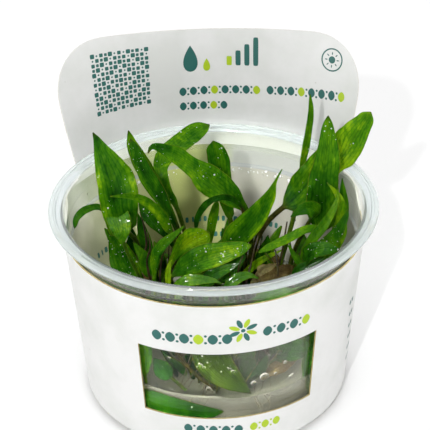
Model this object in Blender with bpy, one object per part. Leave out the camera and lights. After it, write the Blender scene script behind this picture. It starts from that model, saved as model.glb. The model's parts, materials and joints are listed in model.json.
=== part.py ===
"""A young water plant growing in gel, in a clear plastic cup with a printed card sleeve.

The origin is the centre of the cup's flat base, +Z is up and the sleeve's window faces -Y.
All lengths below are in millimetres and all angles in degrees; MM turns them into metres
when a mesh is made.
"""
import math

import bmesh
import bpy
from mathutils import Vector

MM = 0.001
GAP = 0.35              # clear space kept between pieces that touch

# Cup
CUP_HEIGHT = 64.0
CUP_WALL = 0.8
CUP_BASE_R = 40.9       # outside, just above the round corner of the base
CUP_WALL_R = 44.4       # outside, where the tapered wall ends
CUP_WALL_Z = 50.0
CUP_RIM_R = 50.0
CUP_RIM_INNER_R = 46.0
CUP_RIM_THICK = 0.9
CUP_STEPS = 48

# Card sleeve
CARD_THICK = 0.5
SLEEVE_BOTTOM_Z = 2.0
SLEEVE_TOP_Z = 56.9
SLEEVE_BOTTOM_R = 41.55  # middle of the card
SLEEVE_TOP_R = 45.85
WINDOW_HALF_ANGLE = 35.7
WINDOW_Z = (14.1, 39.5)

# Tab that stands up behind the rim, part of the sleeve
TAB_TURN = -4.0          # the middle of the tab is turned a little to the right of the back
TAB_HALF = 51.5          # half its width, along the card
TAB_TOP_Z = 97.3
TAB_CORNER_R = 17.0
TAB_BACK_Y = 52.0        # how far back the middle of its top edge leans
TAB_TOP_CURVE_R = 130.0  # the card flattens towards its top edge
RIM_PASS_Z = 63.0
RIM_PASS_R = 50.75       # middle of the card where it passes outside the rim
FLARE_START_Z = 22.0
FLARE_FULL_ANGLE = 59.5
FLARE_END_ANGLE = 88.0

# Gel and crowns
GEL_TOP_Z = 19.0
GEL_BASE_Z = 1.15
GEL_MARGIN = 0.45        # to the cup's wall
NOTCH_ANGLES = (-50.0, -1.0)   # from the front, where one leaf is sunk at the wall
NOTCH_R = (38.8, 42.5)
NOTCH_Z = (9.0, 21.0)
CROWN_TOP_Z = 24.6
CROWN_STEPS = 10
FOOT_RING = 3.0          # leaf stalks stand round the crown's top at this radius
FOOT_Z = 25.0

CROWNS = {
    "left": (-18.0, 4.0),
    "middle": (-4.0, 8.0),
    "centre": (11.0, 9.0),
    "right": (26.0, 3.0),
    "front": (2.0, -18.0),
}

# Directions that a leaf's upper face can look in
FRONT = (0.0, -1.0, 0.1)
FRONT_UP = (0.0, -0.8, 0.6)
UP = (0.0, -0.5, 0.85)
LEFT_UP = (-0.35, -0.75, 0.55)

BROAD_RING = 8           # points round a broad leaf's section
NARROW_RING = 6
NARROW_WIDTH = 5.0
BLADE_HALF_THICK = 0.27
TIP_HALF_WIDTH = 0.35


def turned_mesh(name, profile, steps):
    """Close a profile of (radius, height) points into a solid of revolution about Z."""
    bm = bmesh.new()
    rings = []
    for radius, height in profile:
        if radius == 0.0:
            rings.append([bm.verts.new((0.0, 0.0, height * MM))])
            continue
        ring = []
        for step in range(steps):
            angle = 2.0 * math.pi * step / steps
            ring.append(bm.verts.new((radius * math.cos(angle) * MM,
                                      radius * math.sin(angle) * MM, height * MM)))
        rings.append(ring)
    for low, high in zip(rings, rings[1:]):
        for step in range(steps):
            nxt = (step + 1) % steps
            corners = [low[step % len(low)], low[nxt % len(low)],
                       high[nxt % len(high)], high[step % len(high)]]
            bm.faces.new(list(dict.fromkeys(corners)))
    return finished_mesh(name, bm)


def finished_mesh(name, bm):
    """Point the faces out and store the bmesh."""
    bmesh.ops.recalc_face_normals(bm, faces=bm.faces[:])
    mesh = bpy.data.meshes.new(name)
    bm.to_mesh(mesh)
    bm.free()
    mesh.shade_smooth()
    mesh.set_sharp_from_angle(angle=math.radians(35))
    return mesh


def add_object(name, mesh, material=None):
    """Put a mesh in the scene under its own name."""
    obj = bpy.data.objects.new(name, mesh)
    bpy.context.scene.collection.objects.link(obj)
    if material:
        mesh.materials.append(material)
    return obj


def make_material(name, colour, roughness, transmission=0.0, ior=1.5):
    """A Principled material with the part's own colour."""
    material = bpy.data.materials.new(name)
    material.use_nodes = True
    shader = material.node_tree.nodes["Principled BSDF"]
    shader.inputs["Base Color"].default_value = (*colour, 1.0)
    shader.inputs["Roughness"].default_value = roughness
    shader.inputs["Metallic"].default_value = 0.0
    shader.inputs["Transmission Weight"].default_value = transmission
    shader.inputs["IOR"].default_value = ior
    return material


def add_cutter(target, cutter):
    """Cut one solid out of another; the cutter stays as a hidden wire guide."""
    cutter.hide_render = True
    cutter.display_type = "WIRE"
    cut = target.modifiers.new(cutter.name, "BOOLEAN")
    cut.operation = "DIFFERENCE"
    cut.solver = "EXACT"
    cut.object = cutter


def smooth_step(low, high, value):
    """0 below low, 1 above high, with an S-shaped change between them."""
    t = min(1.0, max(0.0, (value - low) / (high - low)))
    return t * t * (3.0 - 2.0 * t)


def cup_wall_inner_r(height):
    """Radius of the tapered wall's inner face."""
    low, high = 2.4, CUP_WALL_Z + 1.2
    slope = (CUP_WALL_R - CUP_BASE_R) / (high - low)
    return CUP_BASE_R - CUP_WALL + slope * (height - low)


def cup_profile():
    """The cup's outline: up the outside, over the rim and down the inside."""
    outside = [
        (0.0, 0.0), (CUP_BASE_R - 1.9, 0.0), (CUP_BASE_R, 2.0),
        (CUP_WALL_R, CUP_WALL_Z), (CUP_WALL_R + 0.6, CUP_WALL_Z + 2.0),
        (CUP_WALL_R + 0.8, SLEEVE_TOP_Z), (CUP_WALL_R + 1.5, SLEEVE_TOP_Z + 1.2),
        (CUP_RIM_INNER_R + 0.2, CUP_HEIGHT - 1.5), (CUP_RIM_R - 0.5, CUP_HEIGHT - CUP_RIM_THICK),
        (CUP_RIM_R, CUP_HEIGHT - 0.45)]
    inside = [
        (CUP_RIM_R - 0.4, CUP_HEIGHT), (CUP_RIM_INNER_R, CUP_HEIGHT),
        (CUP_RIM_INNER_R - 0.8, CUP_HEIGHT - 0.9), (CUP_WALL_R + 0.7, SLEEVE_TOP_Z + 1.5),
        (CUP_WALL_R, SLEEVE_TOP_Z + 0.4), (CUP_WALL_R - 0.2, CUP_WALL_Z + 2.4),
        (CUP_WALL_R - CUP_WALL, CUP_WALL_Z + 1.2), (CUP_BASE_R - CUP_WALL, 2.4),
        (CUP_BASE_R - 2.3, CUP_WALL), (0.0, CUP_WALL)]
    return outside + inside


def card_point(along, height):
    """A point of the card's middle surface.

    along is the distance round the card from the middle of the tab, measured where the card
    passes the rim, and runs to the right as seen from the front.
    """
    angle = math.degrees(along / RIM_PASS_R)
    if height <= RIM_PASS_Z:
        cone = SLEEVE_BOTTOM_R + (SLEEVE_TOP_R - SLEEVE_BOTTOM_R) * (
            (height - SLEEVE_BOTTOM_Z) / (SLEEVE_TOP_Z - SLEEVE_BOTTOM_Z))
        flare = smooth_step(FLARE_START_Z, RIM_PASS_Z, height)
        flare *= 1.0 - smooth_step(FLARE_FULL_ANGLE, FLARE_END_ANGLE, abs(angle))
        radius = cone + (RIM_PASS_R - cone) * flare
        x, y = radius * math.sin(math.radians(angle)), radius * math.cos(math.radians(angle))
    else:
        part = (height - RIM_PASS_Z) / (TAB_TOP_Z - RIM_PASS_Z)
        bend = (1.0 - part) / RIM_PASS_R + part / TAB_TOP_CURVE_R
        turn = along * bend
        x = math.sin(turn) / bend
        y = RIM_PASS_R + (TAB_BACK_Y - RIM_PASS_R) * part - (1.0 - math.cos(turn)) / bend
    tilt = math.radians(TAB_TURN)
    return Vector((x * math.cos(tilt) - y * math.sin(tilt),
                   x * math.sin(tilt) + y * math.cos(tilt), height)) * MM


def tab_top(along):
    """Height of the tab's outline, with its round corners, at a distance along the card."""
    past = abs(along) - (TAB_HALF - TAB_CORNER_R)
    if past <= 0.0:
        return TAB_TOP_Z
    return TAB_TOP_Z - TAB_CORNER_R + math.sqrt(max(0.0, TAB_CORNER_R ** 2 - past ** 2))


def sleeve_columns():
    """Distances along the card of the sleeve's upright edges, once round."""
    flat = TAB_HALF - TAB_CORNER_R
    half = [flat * step / 5 for step in range(6)]
    half += [flat + TAB_CORNER_R * math.sin(math.radians(turn)) for turn in (22.5, 45, 67.5, 90)]
    per_degree = math.radians(1.0) * RIM_PASS_R
    edge = TAB_HALF / per_degree
    # the window is centred on the front, the tab is turned, so each side has its own spacing
    columns = []
    for side in (-1, 1):
        window = 180.0 - WINDOW_HALF_ANGLE + side * TAB_TURN
        front = 180.0 + side * TAB_TURN
        angles = [edge + (window - edge) * step / 10 for step in range(1, 11)]
        angles += [window + (front - window) * step / 4 for step in range(1, 4 if side > 0 else 5)]
        columns.append([side * value for value in half] + [side * a * per_degree for a in angles])
    left, right = columns
    return left[::-1] + right[1:]


def sleeve_mesh():
    """The card as one sheet of quads; the window is left open."""
    per_degree = math.radians(1.0) * RIM_PASS_R
    rows = [SLEEVE_BOTTOM_Z, WINDOW_Z[0], 25.0, 32.0, WINDOW_Z[1], 48.0, SLEEVE_TOP_Z]
    tab_rows = 5
    columns = sleeve_columns()
    bm = bmesh.new()
    grid = []
    for along in columns:
        heights = list(rows)
        if abs(along) <= TAB_HALF + 0.01:
            top = tab_top(along)
            heights += [RIM_PASS_Z + (top - RIM_PASS_Z) * step / tab_rows
                        for step in range(tab_rows + 1)]
        grid.append([bm.verts.new(card_point(along, height)) for height in heights])
    for index, low in enumerate(grid):
        high = grid[(index + 1) % len(grid)]
        end = columns[index + 1] if index + 1 < len(columns) else columns[0] + 360.0 * per_degree
        angle = (columns[index] + end) / 2.0 / per_degree - TAB_TURN
        front_angle = abs(abs(angle) - 180.0)
        for row in range(min(len(low), len(high)) - 1):
            middle = (low[row].co.z + low[row + 1].co.z) / 2 / MM
            in_window = WINDOW_Z[0] < middle < WINDOW_Z[1] and front_angle < WINDOW_HALF_ANGLE
            if not in_window:
                bm.faces.new((low[row], high[row], high[row + 1], low[row + 1]))
    return finished_mesh("sleeve", bm)


def arc_block_mesh(name, angles, radii, heights, steps=12):
    """A block bent round the Z axis, angles measured from the front towards the right."""
    bm = bmesh.new()
    sections = []
    for step in range(steps + 1):
        angle = math.radians(angles[0] + (angles[1] - angles[0]) * step / steps - 90.0)
        sections.append([bm.verts.new((radius * math.cos(angle) * MM,
                                       radius * math.sin(angle) * MM, height * MM))
                         for radius, height in ((radii[0], heights[0]), (radii[1], heights[0]),
                                                (radii[1], heights[1]), (radii[0], heights[1]))])
    for first, second in zip(sections, sections[1:]):
        for corner in range(4):
            nxt = (corner + 1) % 4
            bm.faces.new((first[corner], first[nxt], second[nxt], second[corner]))
    bm.faces.new(sections[0])
    bm.faces.new(sections[-1])
    return finished_mesh(name, bm)


def crown_profile(grow=0.0):
    """A short rootstock; grow makes the hollow that it stands in."""
    profile = [(0.0, 12.0 - grow), (2.3 + grow, 12.5 - grow), (3.4 + grow, 15.5),
               (3.9 + grow, 21.5)]
    if grow:
        return profile + [(3.9 + grow, CROWN_TOP_Z + 2.0), (0.0, CROWN_TOP_Z + 2.0)]
    return profile + [(3.1, CROWN_TOP_Z - 0.5), (0.0, CROWN_TOP_Z)]


def foot(crown, heading):
    """Where a stalk stands on a crown; 0 is right, 90 back, 180 left and 270 front."""
    x, y = CROWNS[crown]
    turn = math.radians(heading)
    return (x + FOOT_RING * math.cos(turn), y + FOOT_RING * math.sin(turn), FOOT_Z)


def smooth_path(points, count_per_span=12):
    """A dense Catmull-Rom curve through the points, as vectors in millimetres."""
    knots = [Vector(point) for point in points]
    knots = [2 * knots[0] - knots[1]] + knots + [2 * knots[-1] - knots[-2]]
    path = []
    for index in range(1, len(knots) - 2):
        before, start, end, after = knots[index - 1:index + 3]
        for step in range(count_per_span):
            t = step / count_per_span
            path.append(0.5 * (2 * start + (end - before) * t
                               + (2 * before - 5 * start + 4 * end - after) * t ** 2
                               + (3 * start - before - 3 * end + after) * t ** 3))
    path.append(knots[-2])
    return path


def point_along(path, part):
    """The point and direction at a fraction of a dense path's length."""
    lengths = [0.0]
    for a, b in zip(path, path[1:]):
        lengths.append(lengths[-1] + (b - a).length)
    target = part * lengths[-1]
    index = 0
    while index < len(path) - 2 and lengths[index + 1] < target:
        index += 1
    span = lengths[index + 1] - lengths[index]
    t = (target - lengths[index]) / span
    return path[index].lerp(path[index + 1], t), (path[index + 1] - path[index]).normalized()


def carried_normals(directions, start, face):
    """Carry the upper face's direction along the leaf with the least twist."""
    normal = Vector(face)
    normals = [None] * len(directions)
    normals[start] = (normal - normal.dot(directions[start]) * directions[start]).normalized()
    for order in (range(start + 1, len(directions)), range(start - 1, -1, -1)):
        last = normals[start]
        for index in order:
            last = (last - last.dot(directions[index]) * directions[index]).normalized()
            normals[index] = last
    return normals


def blade_shape(part, swell, tip):
    """Half width of the blade, from 0 to 1, at a fraction of its length.

    A larger swell puts the widest part nearer the tip and a smaller tip makes it blunter.
    """
    return math.sin(math.pi * part ** swell) ** tip


def leaf_mesh(name, points, width, start, face, cup=0.16, stalk=0.75, rings=6, swell=0.8,
              tip=0.85):
    """One leaf: a round stalk that widens into a thin blade with raised edges.

    start is the fraction of the length where the blade begins, width the blade's full width
    and cup how far its edges rise towards the upper face, as a part of the half width.
    """
    corners = NARROW_RING if width <= NARROW_WIDTH else BROAD_RING
    path = smooth_path(points)
    stalk_parts = [0.0, start * 0.36, start * 0.7, start]
    blade_parts = [0.1 + 0.84 * step / (rings - 1) for step in range(rings)]
    parts = stalk_parts + [start + (1.0 - start) * part for part in blade_parts]
    halves = [stalk] * 3 + [stalk * 0.9]
    halves += [max(TIP_HALF_WIDTH, 0.5 * width * blade_shape(part, swell, tip))
               for part in blade_parts]
    thicks = [stalk] * 3 + [stalk * 0.8] + [BLADE_HALF_THICK] * rings
    lifts = [0.0] * 4 + [cup * half for half in halves[4:]]
    places = [point_along(path, part) for part in parts]
    directions = [direction for _, direction in places]
    normals = carried_normals(directions, 4 + rings // 2, face)
    bm = bmesh.new()
    sections = []
    for (centre, along), up, half, thick, lift in zip(places, normals, halves, thicks, lifts):
        across = along.cross(up)
        ring = []
        for corner in range(corners):
            turn = 2.0 * math.pi * corner / corners
            side = math.cos(turn)
            height = math.sin(turn) * thick + lift * side * side
            ring.append(bm.verts.new((centre + across * half * side + up * height) * MM))
        sections.append(ring)
    for low, high in zip(sections, sections[1:]):
        for corner in range(corners):
            nxt = (corner + 1) % corners
            bm.faces.new((low[corner], low[nxt], high[nxt], high[corner]))
    bm.faces.new(sections[0])
    end = bm.verts.new(path[-1] * MM)
    for corner in range(corners):
        bm.faces.new((sections[-1][corner], sections[-1][(corner + 1) % corners], end))
    return finished_mesh(name, bm)


# Each leaf: name, points from its foot to its tip, width, where the blade starts, upper face,
# then any of cup, stalk and rings that differ from a common leaf's.
LEAVES = [
    # left crown
    ("leaf_left_broad", [foot("left", 110), (-23, 10, 38), (-23.8, 8, 46), (-26.6, 3.8, 53),
                         (-28.4, 4, 60), (-29.5, 5, 68), (-31.8, 6.7, 76.5), (-35, 9, 85)],
     12.0, 0.46, FRONT_UP, {"rings": 7, "swell": 0.95}),
    ("leaf_left_thin_arch", [foot("left", 155), (-27, 9, 38), (-31.5, 12, 52), (-35, 12, 58.5),
                             (-38.5, 10, 58.5), (-41, 7.5, 56.5), (-41.8, 6, 53.5)],
     2.8, 0.6, UP, {"stalk": 0.6}),
    ("leaf_left_low", [foot("left", 205), (-23, 4, 34), (-28.3, 6.5, 42.5), (-31.5, 7.5, 49),
                       (-33.8, 7.5, 54)], 8.5, 0.22, FRONT_UP, {}),
    ("leaf_left_lance", [foot("left", 265), (-19.3, -3, 34), (-18.8, -4, 40), (-16, -5, 50),
                         (-9.5, -4, 58)], 4.8, 0.42, FRONT_UP, {}),
    ("leaf_front_glossy", [foot("left", 325), (-15.5, -2, 33), (-14, -5.5, 40.5), (-8, -8.5, 45),
                           (1, -10, 49.5), (10.5, -9, 52)], 10.0, 0.39, FRONT_UP, {}),
    ("leaf_left_bright", [foot("left", 15), (-15.5, 2, 36), (-14.5, 0, 42.5), (-9.5, -1.5, 48),
                          (-2.5, -2, 52.5)], 8.0, 0.5, FRONT, {"rings": 5}),
    ("leaf_left_thin_dark", [foot("left", 60), (-18, 6, 34), (-19.8, 5.5, 42), (-21.5, 5, 50),
                             (-23, 5.5, 58)], 3.8, 0.45, FRONT_UP, {"rings": 5}),
    # middle crown
    ("leaf_back_arched", [foot("middle", 80), (-7, 13, 40), (-10.2, 13.5, 53.5),
                          (-13.3, 13.8, 59.5), (-15, 14.5, 65), (-15.3, 17, 68), (-13, 21, 69.8),
                          (-7.3, 27, 71), (-2.2, 32, 71.9), (1.8, 35, 72)],
     8.0, 0.4, UP, {"rings": 9, "swell": 1.0, "tip": 0.6}),
    ("leaf_left_tall_back", [foot("middle", 125), (-9, 9.5, 40), (-11.5, 10, 52),
                             (-18, 10.5, 66), (-24.3, 12, 83.3)], 8.0, 0.42, FRONT_UP, {}),
    ("leaf_left_tall_dark", [foot("middle", 170), (-9.5, 6, 40), (-11, 6, 50), (-16, 6.5, 63),
                             (-20.5, 7, 72), (-24, 8, 82.5)], 8.0, 0.42, FRONT_UP, {}),
    ("leaf_left_mid_dark", [foot("middle", 215), (-10.5, 4, 40), (-13, 3, 48), (-18, 2, 57),
                            (-22.5, 2, 64.5)], 7.5, 0.5, FRONT_UP, {"rings": 5}),
    ("leaf_left_arch", [foot("middle", 255), (-8.5, 2.5, 42), (-11.5, 1.3, 52), (-15.5, -2, 62.5),
                        (-20.5, -4.2, 69.8), (-26, -5.5, 71.5), (-31, -6.5, 71.5)],
     4.2, 0.5, LEFT_UP, {"rings": 7}),
    ("leaf_centre_front", [foot("middle", 300), (1.5, 2, 35.5), (3.5, 0.3, 43), (6.7, -1, 49.2),
                           (11.4, -2.5, 56.6), (14.2, -3, 62), (17, -3.5, 68.5),
                           (20.3, -4.5, 76)], 9.0, 0.33, FRONT_UP, {"rings": 7}),
    ("leaf_low_narrow", [foot("middle", 345), (2.5, 4, 29.5), (7, 1.5, 34), (13, 0, 39.5),
                         (19, -1, 43.5)], 4.0, 0.4, FRONT_UP, {"rings": 5}),
    ("leaf_centre_small", [foot("middle", 30), (-1, 8.5, 36), (-1.3, 8, 43), (0.5, 8, 52),
                           (3.5, 8.5, 61)], 4.2, 0.5, FRONT_UP, {"rings": 5}),
    # centre crown
    ("leaf_centre_curled", [foot("centre", 80), (13, 11.5, 40), (11.5, 7.5, 54), (5, 5, 63),
                            (-5, 3.5, 73.5), (-13, 2.5, 80.5), (-17.5, 1.5, 83), (-19.2, 1, 81)],
     11.0, 0.39, FRONT_UP, {"rings": 8}),
    ("leaf_centre_round", [foot("centre", 150), (8, 13, 42), (6.5, 14, 54), (4.5, 14, 66),
                           (2.6, 14.5, 77.5)], 7.0, 0.45, FRONT_UP, {"swell": 1.2, "tip": 0.5}),
    ("leaf_centre_thin_arch", [foot("centre", 250), (10.5, 5, 45), (9.5, 3.5, 57), (6, -0.5, 64),
                               (2, -3.5, 67), (-2, -3.5, 65.5), (-5, -1, 59), (-5.5, 1.5, 52)],
     3.2, 0.5, FRONT, {"rings": 7, "stalk": 0.65}),
    ("leaf_right_round", [foot("centre", 345), (12.5, 7, 35), (14.2, 7, 44), (18, 7.5, 50.7),
                          (23, 8, 55.2), (26.9, 8.2, 58.6), (30.8, 8, 64.5), (33.9, 7.9, 71.2),
                          (35.4, 8.2, 76.6)],
     9.0, 0.56, LEFT_UP, {"stalk": 1.0}),
    # right crown
    ("leaf_back_blade", [foot("right", 125), (21.8, 8, 31.5), (24.5, 10.5, 41), (27.3, 14, 50),
                         (29.5, 18, 62.5), (31, 19, 77), (32, 19, 89)], 3.8, 0.6, FRONT_UP, {}),
    ("leaf_right_tall", [foot("right", 85), (30.5, 4.3, 40), (33.8, 4, 49), (34.2, 4, 56.2),
                         (34.1, 4, 62.7), (34.8, 5, 70.6), (35.6, 6, 77.6), (35.8, 7, 86.8)],
     10.4, 0.36, FRONT_UP, {"rings": 7, "swell": 0.65}),
    ("leaf_right_wide", [foot("right", 45), (33, 8.5, 42), (36.5, 10.5, 56), (39, 10.5, 66),
                         (42.8, 11, 72.3), (46.3, 11.5, 78.8), (48.5, 11.8, 82.3),
                         (50, 12, 84.5)], 10.5, 0.56, FRONT_UP, {"swell": 0.85, "tip": 0.55}),
    ("leaf_right_edge", [foot("right", 0), (34, 0.5, 38), (38, 0, 49), (40, 0, 58),
                         (39.5, 0.5, 68.5)], 4.0, 0.45, FRONT_UP, {}),
    ("leaf_right_curl", [foot("right", 320), (33, -2.5, 38), (36.5, -3.5, 49), (39, -3.5, 57),
                         (37.8, -3.8, 64.5), (34, -4, 70)], 3.0, 0.5, FRONT_UP, {"stalk": 0.6}),
    ("leaf_right_low", [foot("right", 285), (29.5, -4, 38), (32.3, -6, 49.7), (36, -6.8, 54.5),
                        (40.4, -6, 61)], 6.2, 0.5, FRONT_UP, {"rings": 5}),
    ("leaf_right_lowest", [foot("right", 247), (26.5, -5, 38), (28.5, -8.5, 48.5),
                           (32.5, -10, 51), (37.5, -10, 50)], 7.0, 0.55, UP, {"rings": 5}),
    ("leaf_right_bright", [foot("right", 207), (25.5, 0.5, 38), (29.5, -1, 48.5), (32, -3, 54),
                           (27.6, -4.2, 56.5), (21.5, -5.5, 53.8), (12.3, -8, 47.8)],
     5.5, 0.52, UP, {"rings": 7}),
    ("leaf_right_small", [foot("right", 165), (25, 3, 40), (29.5, 1.8, 52), (31.5, 0.3, 57),
                          (28.5, -0.7, 59.5), (23.5, -1.2, 57)], 5.0, 0.68, FRONT_UP,
     {"rings": 5}),
    # front crown, seen through the window or low in the cup
    ("leaf_window_hanging", [foot("front", 240), (-2, -25, 38), (-5, -32, 45), (-7, -37.5, 43),
                             (-6, -39.7, 37), (-1.5, -40.5, 29), (6.3, -40, 21)],
     10.5, 0.48, FRONT, {"rings": 7, "cup": 0.0}),
    ("leaf_window_right", [foot("front", 330), (9, -24, 29), (14, -29.5, 31), (20, -32.5, 30.5),
                           (27, -30, 28.5)], 9.0, 0.4, FRONT, {}),
    ("leaf_front_under", [foot("front", 100), (0, -11, 32), (-2, -6, 38), (3, -5, 42),
                          (9.5, -4.5, 46)], 7.0, 0.5, FRONT_UP, {"rings": 5}),
    ("leaf_front_wet", [foot("front", 150), (-6, -9, 32), (-9, -3, 36.5), (-4, -1, 36),
                        (1, -1, 34.5)], 4.5, 0.55, FRONT_UP, {"rings": 5}),
    # loose leaves with their stalks on the gel
    ("leaf_window_sunk", [(-24.5, -24.5, 21), (-28, -27.5, 21.5), (-25, -31.2, 17.5),
                          (-18, -35.8, 14.3), (-9, -39, 14.2), (-1.8, -40.1, 15)],
     9.0, 0.27, FRONT, {"cup": 0.0, "stalk": 0.5}),
    ("leaf_window_small", [(-12.5, -35.5, 20.3), (-16, -34, 23.5), (-18.5, -33, 26),
                           (-21.5, -31.5, 30)], 5.5, 0.4, FRONT, {"rings": 5, "stalk": 0.5}),
    ("leaf_window_stalk", [(-3.5, -36, 20.3), (-9, -34.5, 24.5), (-14.5, -31.5, 31),
                           (-19, -26, 42)], 4.0, 0.7, FRONT, {"rings": 4, "stalk": 0.6}),
]

DEAD_LEAVES = [
    ("dead_leaf_left", [foot("left", 235), (-20.3, 0, 33), (-21, 0.5, 40), (-22.3, 1, 47)],
     3.4, 0.4, FRONT_UP, {"rings": 4, "stalk": 0.45}),
    ("dead_leaf_back", [(10, 25, 20.6), (14, 27, 22), (20, 28.5, 22.6), (26, 27, 21.6)],
     8.0, 0.2, UP, {"rings": 5, "stalk": 0.6, "cup": -0.1}),
    ("dead_leaf_window", [(3, -30.5, 20.6), (10, -31.5, 21.6), (17, -30, 22.6), (24, -26, 23.4)],
     4.5, 0.2, UP, {"rings": 5, "stalk": 0.6, "cup": -0.1}),
]


def build():
    """Clear the scene and make every piece."""
    for obj in list(bpy.data.objects):
        bpy.data.objects.remove(obj)

    clear_plastic = make_material("clear_plastic", (0.90, 0.93, 0.92), 0.06, 1.0, 1.49)
    white_card = make_material("white_card", (0.86, 0.86, 0.84), 0.55)
    clear_gel = make_material("clear_gel", (0.80, 0.84, 0.70), 0.1, 1.0, 1.34)
    crown_brown = make_material("crown_brown", (0.10, 0.07, 0.03), 0.6)
    leaf_green = make_material("leaf_green", (0.07, 0.24, 0.02), 0.25)
    dead_brown = make_material("dead_brown", (0.22, 0.15, 0.05), 0.6)

    add_object("cup", turned_mesh("cup", cup_profile(), CUP_STEPS), clear_plastic)

    sleeve = add_object("sleeve", sleeve_mesh(), white_card)
    thick = sleeve.modifiers.new("card", "SOLIDIFY")
    thick.thickness = CARD_THICK * MM
    thick.offset = 0.0

    gel_profile = [(0.0, GEL_BASE_Z), (CUP_BASE_R - 2.7, GEL_BASE_Z),
                   (cup_wall_inner_r(2.7) - GEL_MARGIN, 2.9),
                   (cup_wall_inner_r(18.4) - GEL_MARGIN, 18.4),
                   (cup_wall_inner_r(18.4) - 1.2, GEL_TOP_Z), (0.0, GEL_TOP_Z)]
    gel = add_object("gel", turned_mesh("gel", gel_profile, CUP_STEPS), clear_gel)
    add_cutter(gel, add_object("notch_cutter", arc_block_mesh(
        "notch_cutter", NOTCH_ANGLES, NOTCH_R, NOTCH_Z)))

    for crown, (x, y) in CROWNS.items():
        piece = add_object("crown_" + crown,
                           turned_mesh("crown_" + crown, crown_profile(), CROWN_STEPS),
                           crown_brown)
        hollow = add_object("hollow_" + crown,
                            turned_mesh("hollow_" + crown, crown_profile(GAP), CROWN_STEPS))
        for obj in (piece, hollow):
            obj.location = (x * MM, y * MM, 0.0)
        add_cutter(gel, hollow)

    for leaves, material in ((LEAVES, leaf_green), (DEAD_LEAVES, dead_brown)):
        for name, points, width, start, face, extra in leaves:
            add_object(name, leaf_mesh(name, points, width, start, face, **extra), material)


build()
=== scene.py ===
# %% [markdown]
# # A young water plant in its growing cup
# The plant grows in clear gel inside a plastic cup, and a printed card sleeve is wrapped round
# the cup. The solids of all the pieces come in as a fixed frame. Each one gets a finer piece
# in its place here, with a finish that is made from nodes.

# %% Load the frame
import json
import math

import bmesh
import bpy
import numpy as np
from mathutils import Matrix, Vector

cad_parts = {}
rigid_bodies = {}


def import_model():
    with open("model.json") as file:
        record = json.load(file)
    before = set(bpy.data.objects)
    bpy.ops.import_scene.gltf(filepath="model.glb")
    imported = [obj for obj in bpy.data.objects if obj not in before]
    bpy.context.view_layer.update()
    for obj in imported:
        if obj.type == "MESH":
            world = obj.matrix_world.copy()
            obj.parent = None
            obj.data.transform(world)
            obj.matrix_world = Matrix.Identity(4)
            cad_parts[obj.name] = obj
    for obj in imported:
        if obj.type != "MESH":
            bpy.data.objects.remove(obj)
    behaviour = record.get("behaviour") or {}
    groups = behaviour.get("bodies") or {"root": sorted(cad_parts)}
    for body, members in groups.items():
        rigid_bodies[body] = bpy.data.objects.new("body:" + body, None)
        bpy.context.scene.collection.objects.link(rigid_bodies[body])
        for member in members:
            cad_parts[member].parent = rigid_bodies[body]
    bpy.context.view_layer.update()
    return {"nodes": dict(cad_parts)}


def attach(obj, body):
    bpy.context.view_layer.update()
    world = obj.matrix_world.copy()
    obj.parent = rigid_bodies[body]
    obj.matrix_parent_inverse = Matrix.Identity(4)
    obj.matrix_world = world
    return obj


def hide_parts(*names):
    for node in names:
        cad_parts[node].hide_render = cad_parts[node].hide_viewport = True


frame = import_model()
MM = 0.001
print("frame:", len(frame["nodes"]), "solids")

# %% [markdown]
# ## Small helpers
# Node trees for finishes and for Geometry Nodes are built with the same few calls. One helper
# adds a node and fills its inputs with plain values or with another node's output. The next
# ones stand for the few nodes that are used most. The last ones turn lists of points and faces
# into a piece.

# %% Helpers for node trees
def node(tree, kind, inputs=None, **settings):
    """Add a node, set its options, and give its inputs a value or a link."""
    made = tree.nodes.new(kind)
    for key, value in settings.items():
        setattr(made, key, value)
    for key, value in (inputs or {}).items():
        if isinstance(value, bpy.types.NodeSocket):
            tree.links.new(value, made.inputs[key])
        else:
            made.inputs[key].default_value = value
    return made


def sums(tree, operation, *values):
    """One step of arithmetic on values or sockets; gives the result's socket."""
    return node(tree, "ShaderNodeMath", dict(enumerate(values)), operation=operation).outputs[0]


def share(tree, value, part, centre=0.0):
    """A part of a value, or of how far the value lies from a centre."""
    if centre:
        value = sums(tree, "SUBTRACT", value, centre)
    return sums(tree, "MULTIPLY", value, part)


def stretched(tree, value, low, high, to_low=0.0, to_high=1.0):
    """Stretch low..high to another span, and hold its ends beyond them."""
    return node(tree, "ShaderNodeMapRange", {
        "Value": value, "From Min": low, "From Max": high, "To Min": to_low,
        "To Max": to_high}).outputs["Result"]


def attribute(tree, name):
    """Read a number that is stored on the mesh."""
    return node(tree, "ShaderNodeAttribute", attribute_name=name).outputs["Fac"]


def own_place(tree):
    """The object's own coordinates, in metres."""
    return node(tree, "ShaderNodeTexCoord").outputs["Object"]


def own_xyz(tree):
    """The object's own coordinates as X, Y and Z, in metres."""
    return tuple(node(tree, "ShaderNodeSeparateXYZ", {"Vector": own_place(tree)}).outputs)


def ramp(tree, factor, *stops):
    """Colours along a factor; each stop is (place, colour)."""
    made = node(tree, "ShaderNodeValToRGB", {"Fac": factor})
    colours = made.color_ramp.elements
    while len(colours) < len(stops):
        colours.new(0.5)
    for element, (place, colour) in zip(colours, stops):
        element.position = place
        element.color = (*colour, 1.0)
    return made.outputs["Color"]


def mixed(tree, factor, first, second, blend="MIX"):
    """A colour between two colours or sockets, or another blend of them."""
    made = node(tree, "ShaderNodeMix", {"Factor": factor}, data_type="RGBA", blend_type=blend)
    for key, value in (("A", first), ("B", second)):
        if isinstance(value, bpy.types.NodeSocket):
            tree.links.new(value, made.inputs[key])
        else:
            made.inputs[key].default_value = (*value, 1.0)
    return made.outputs["Result"]


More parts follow.
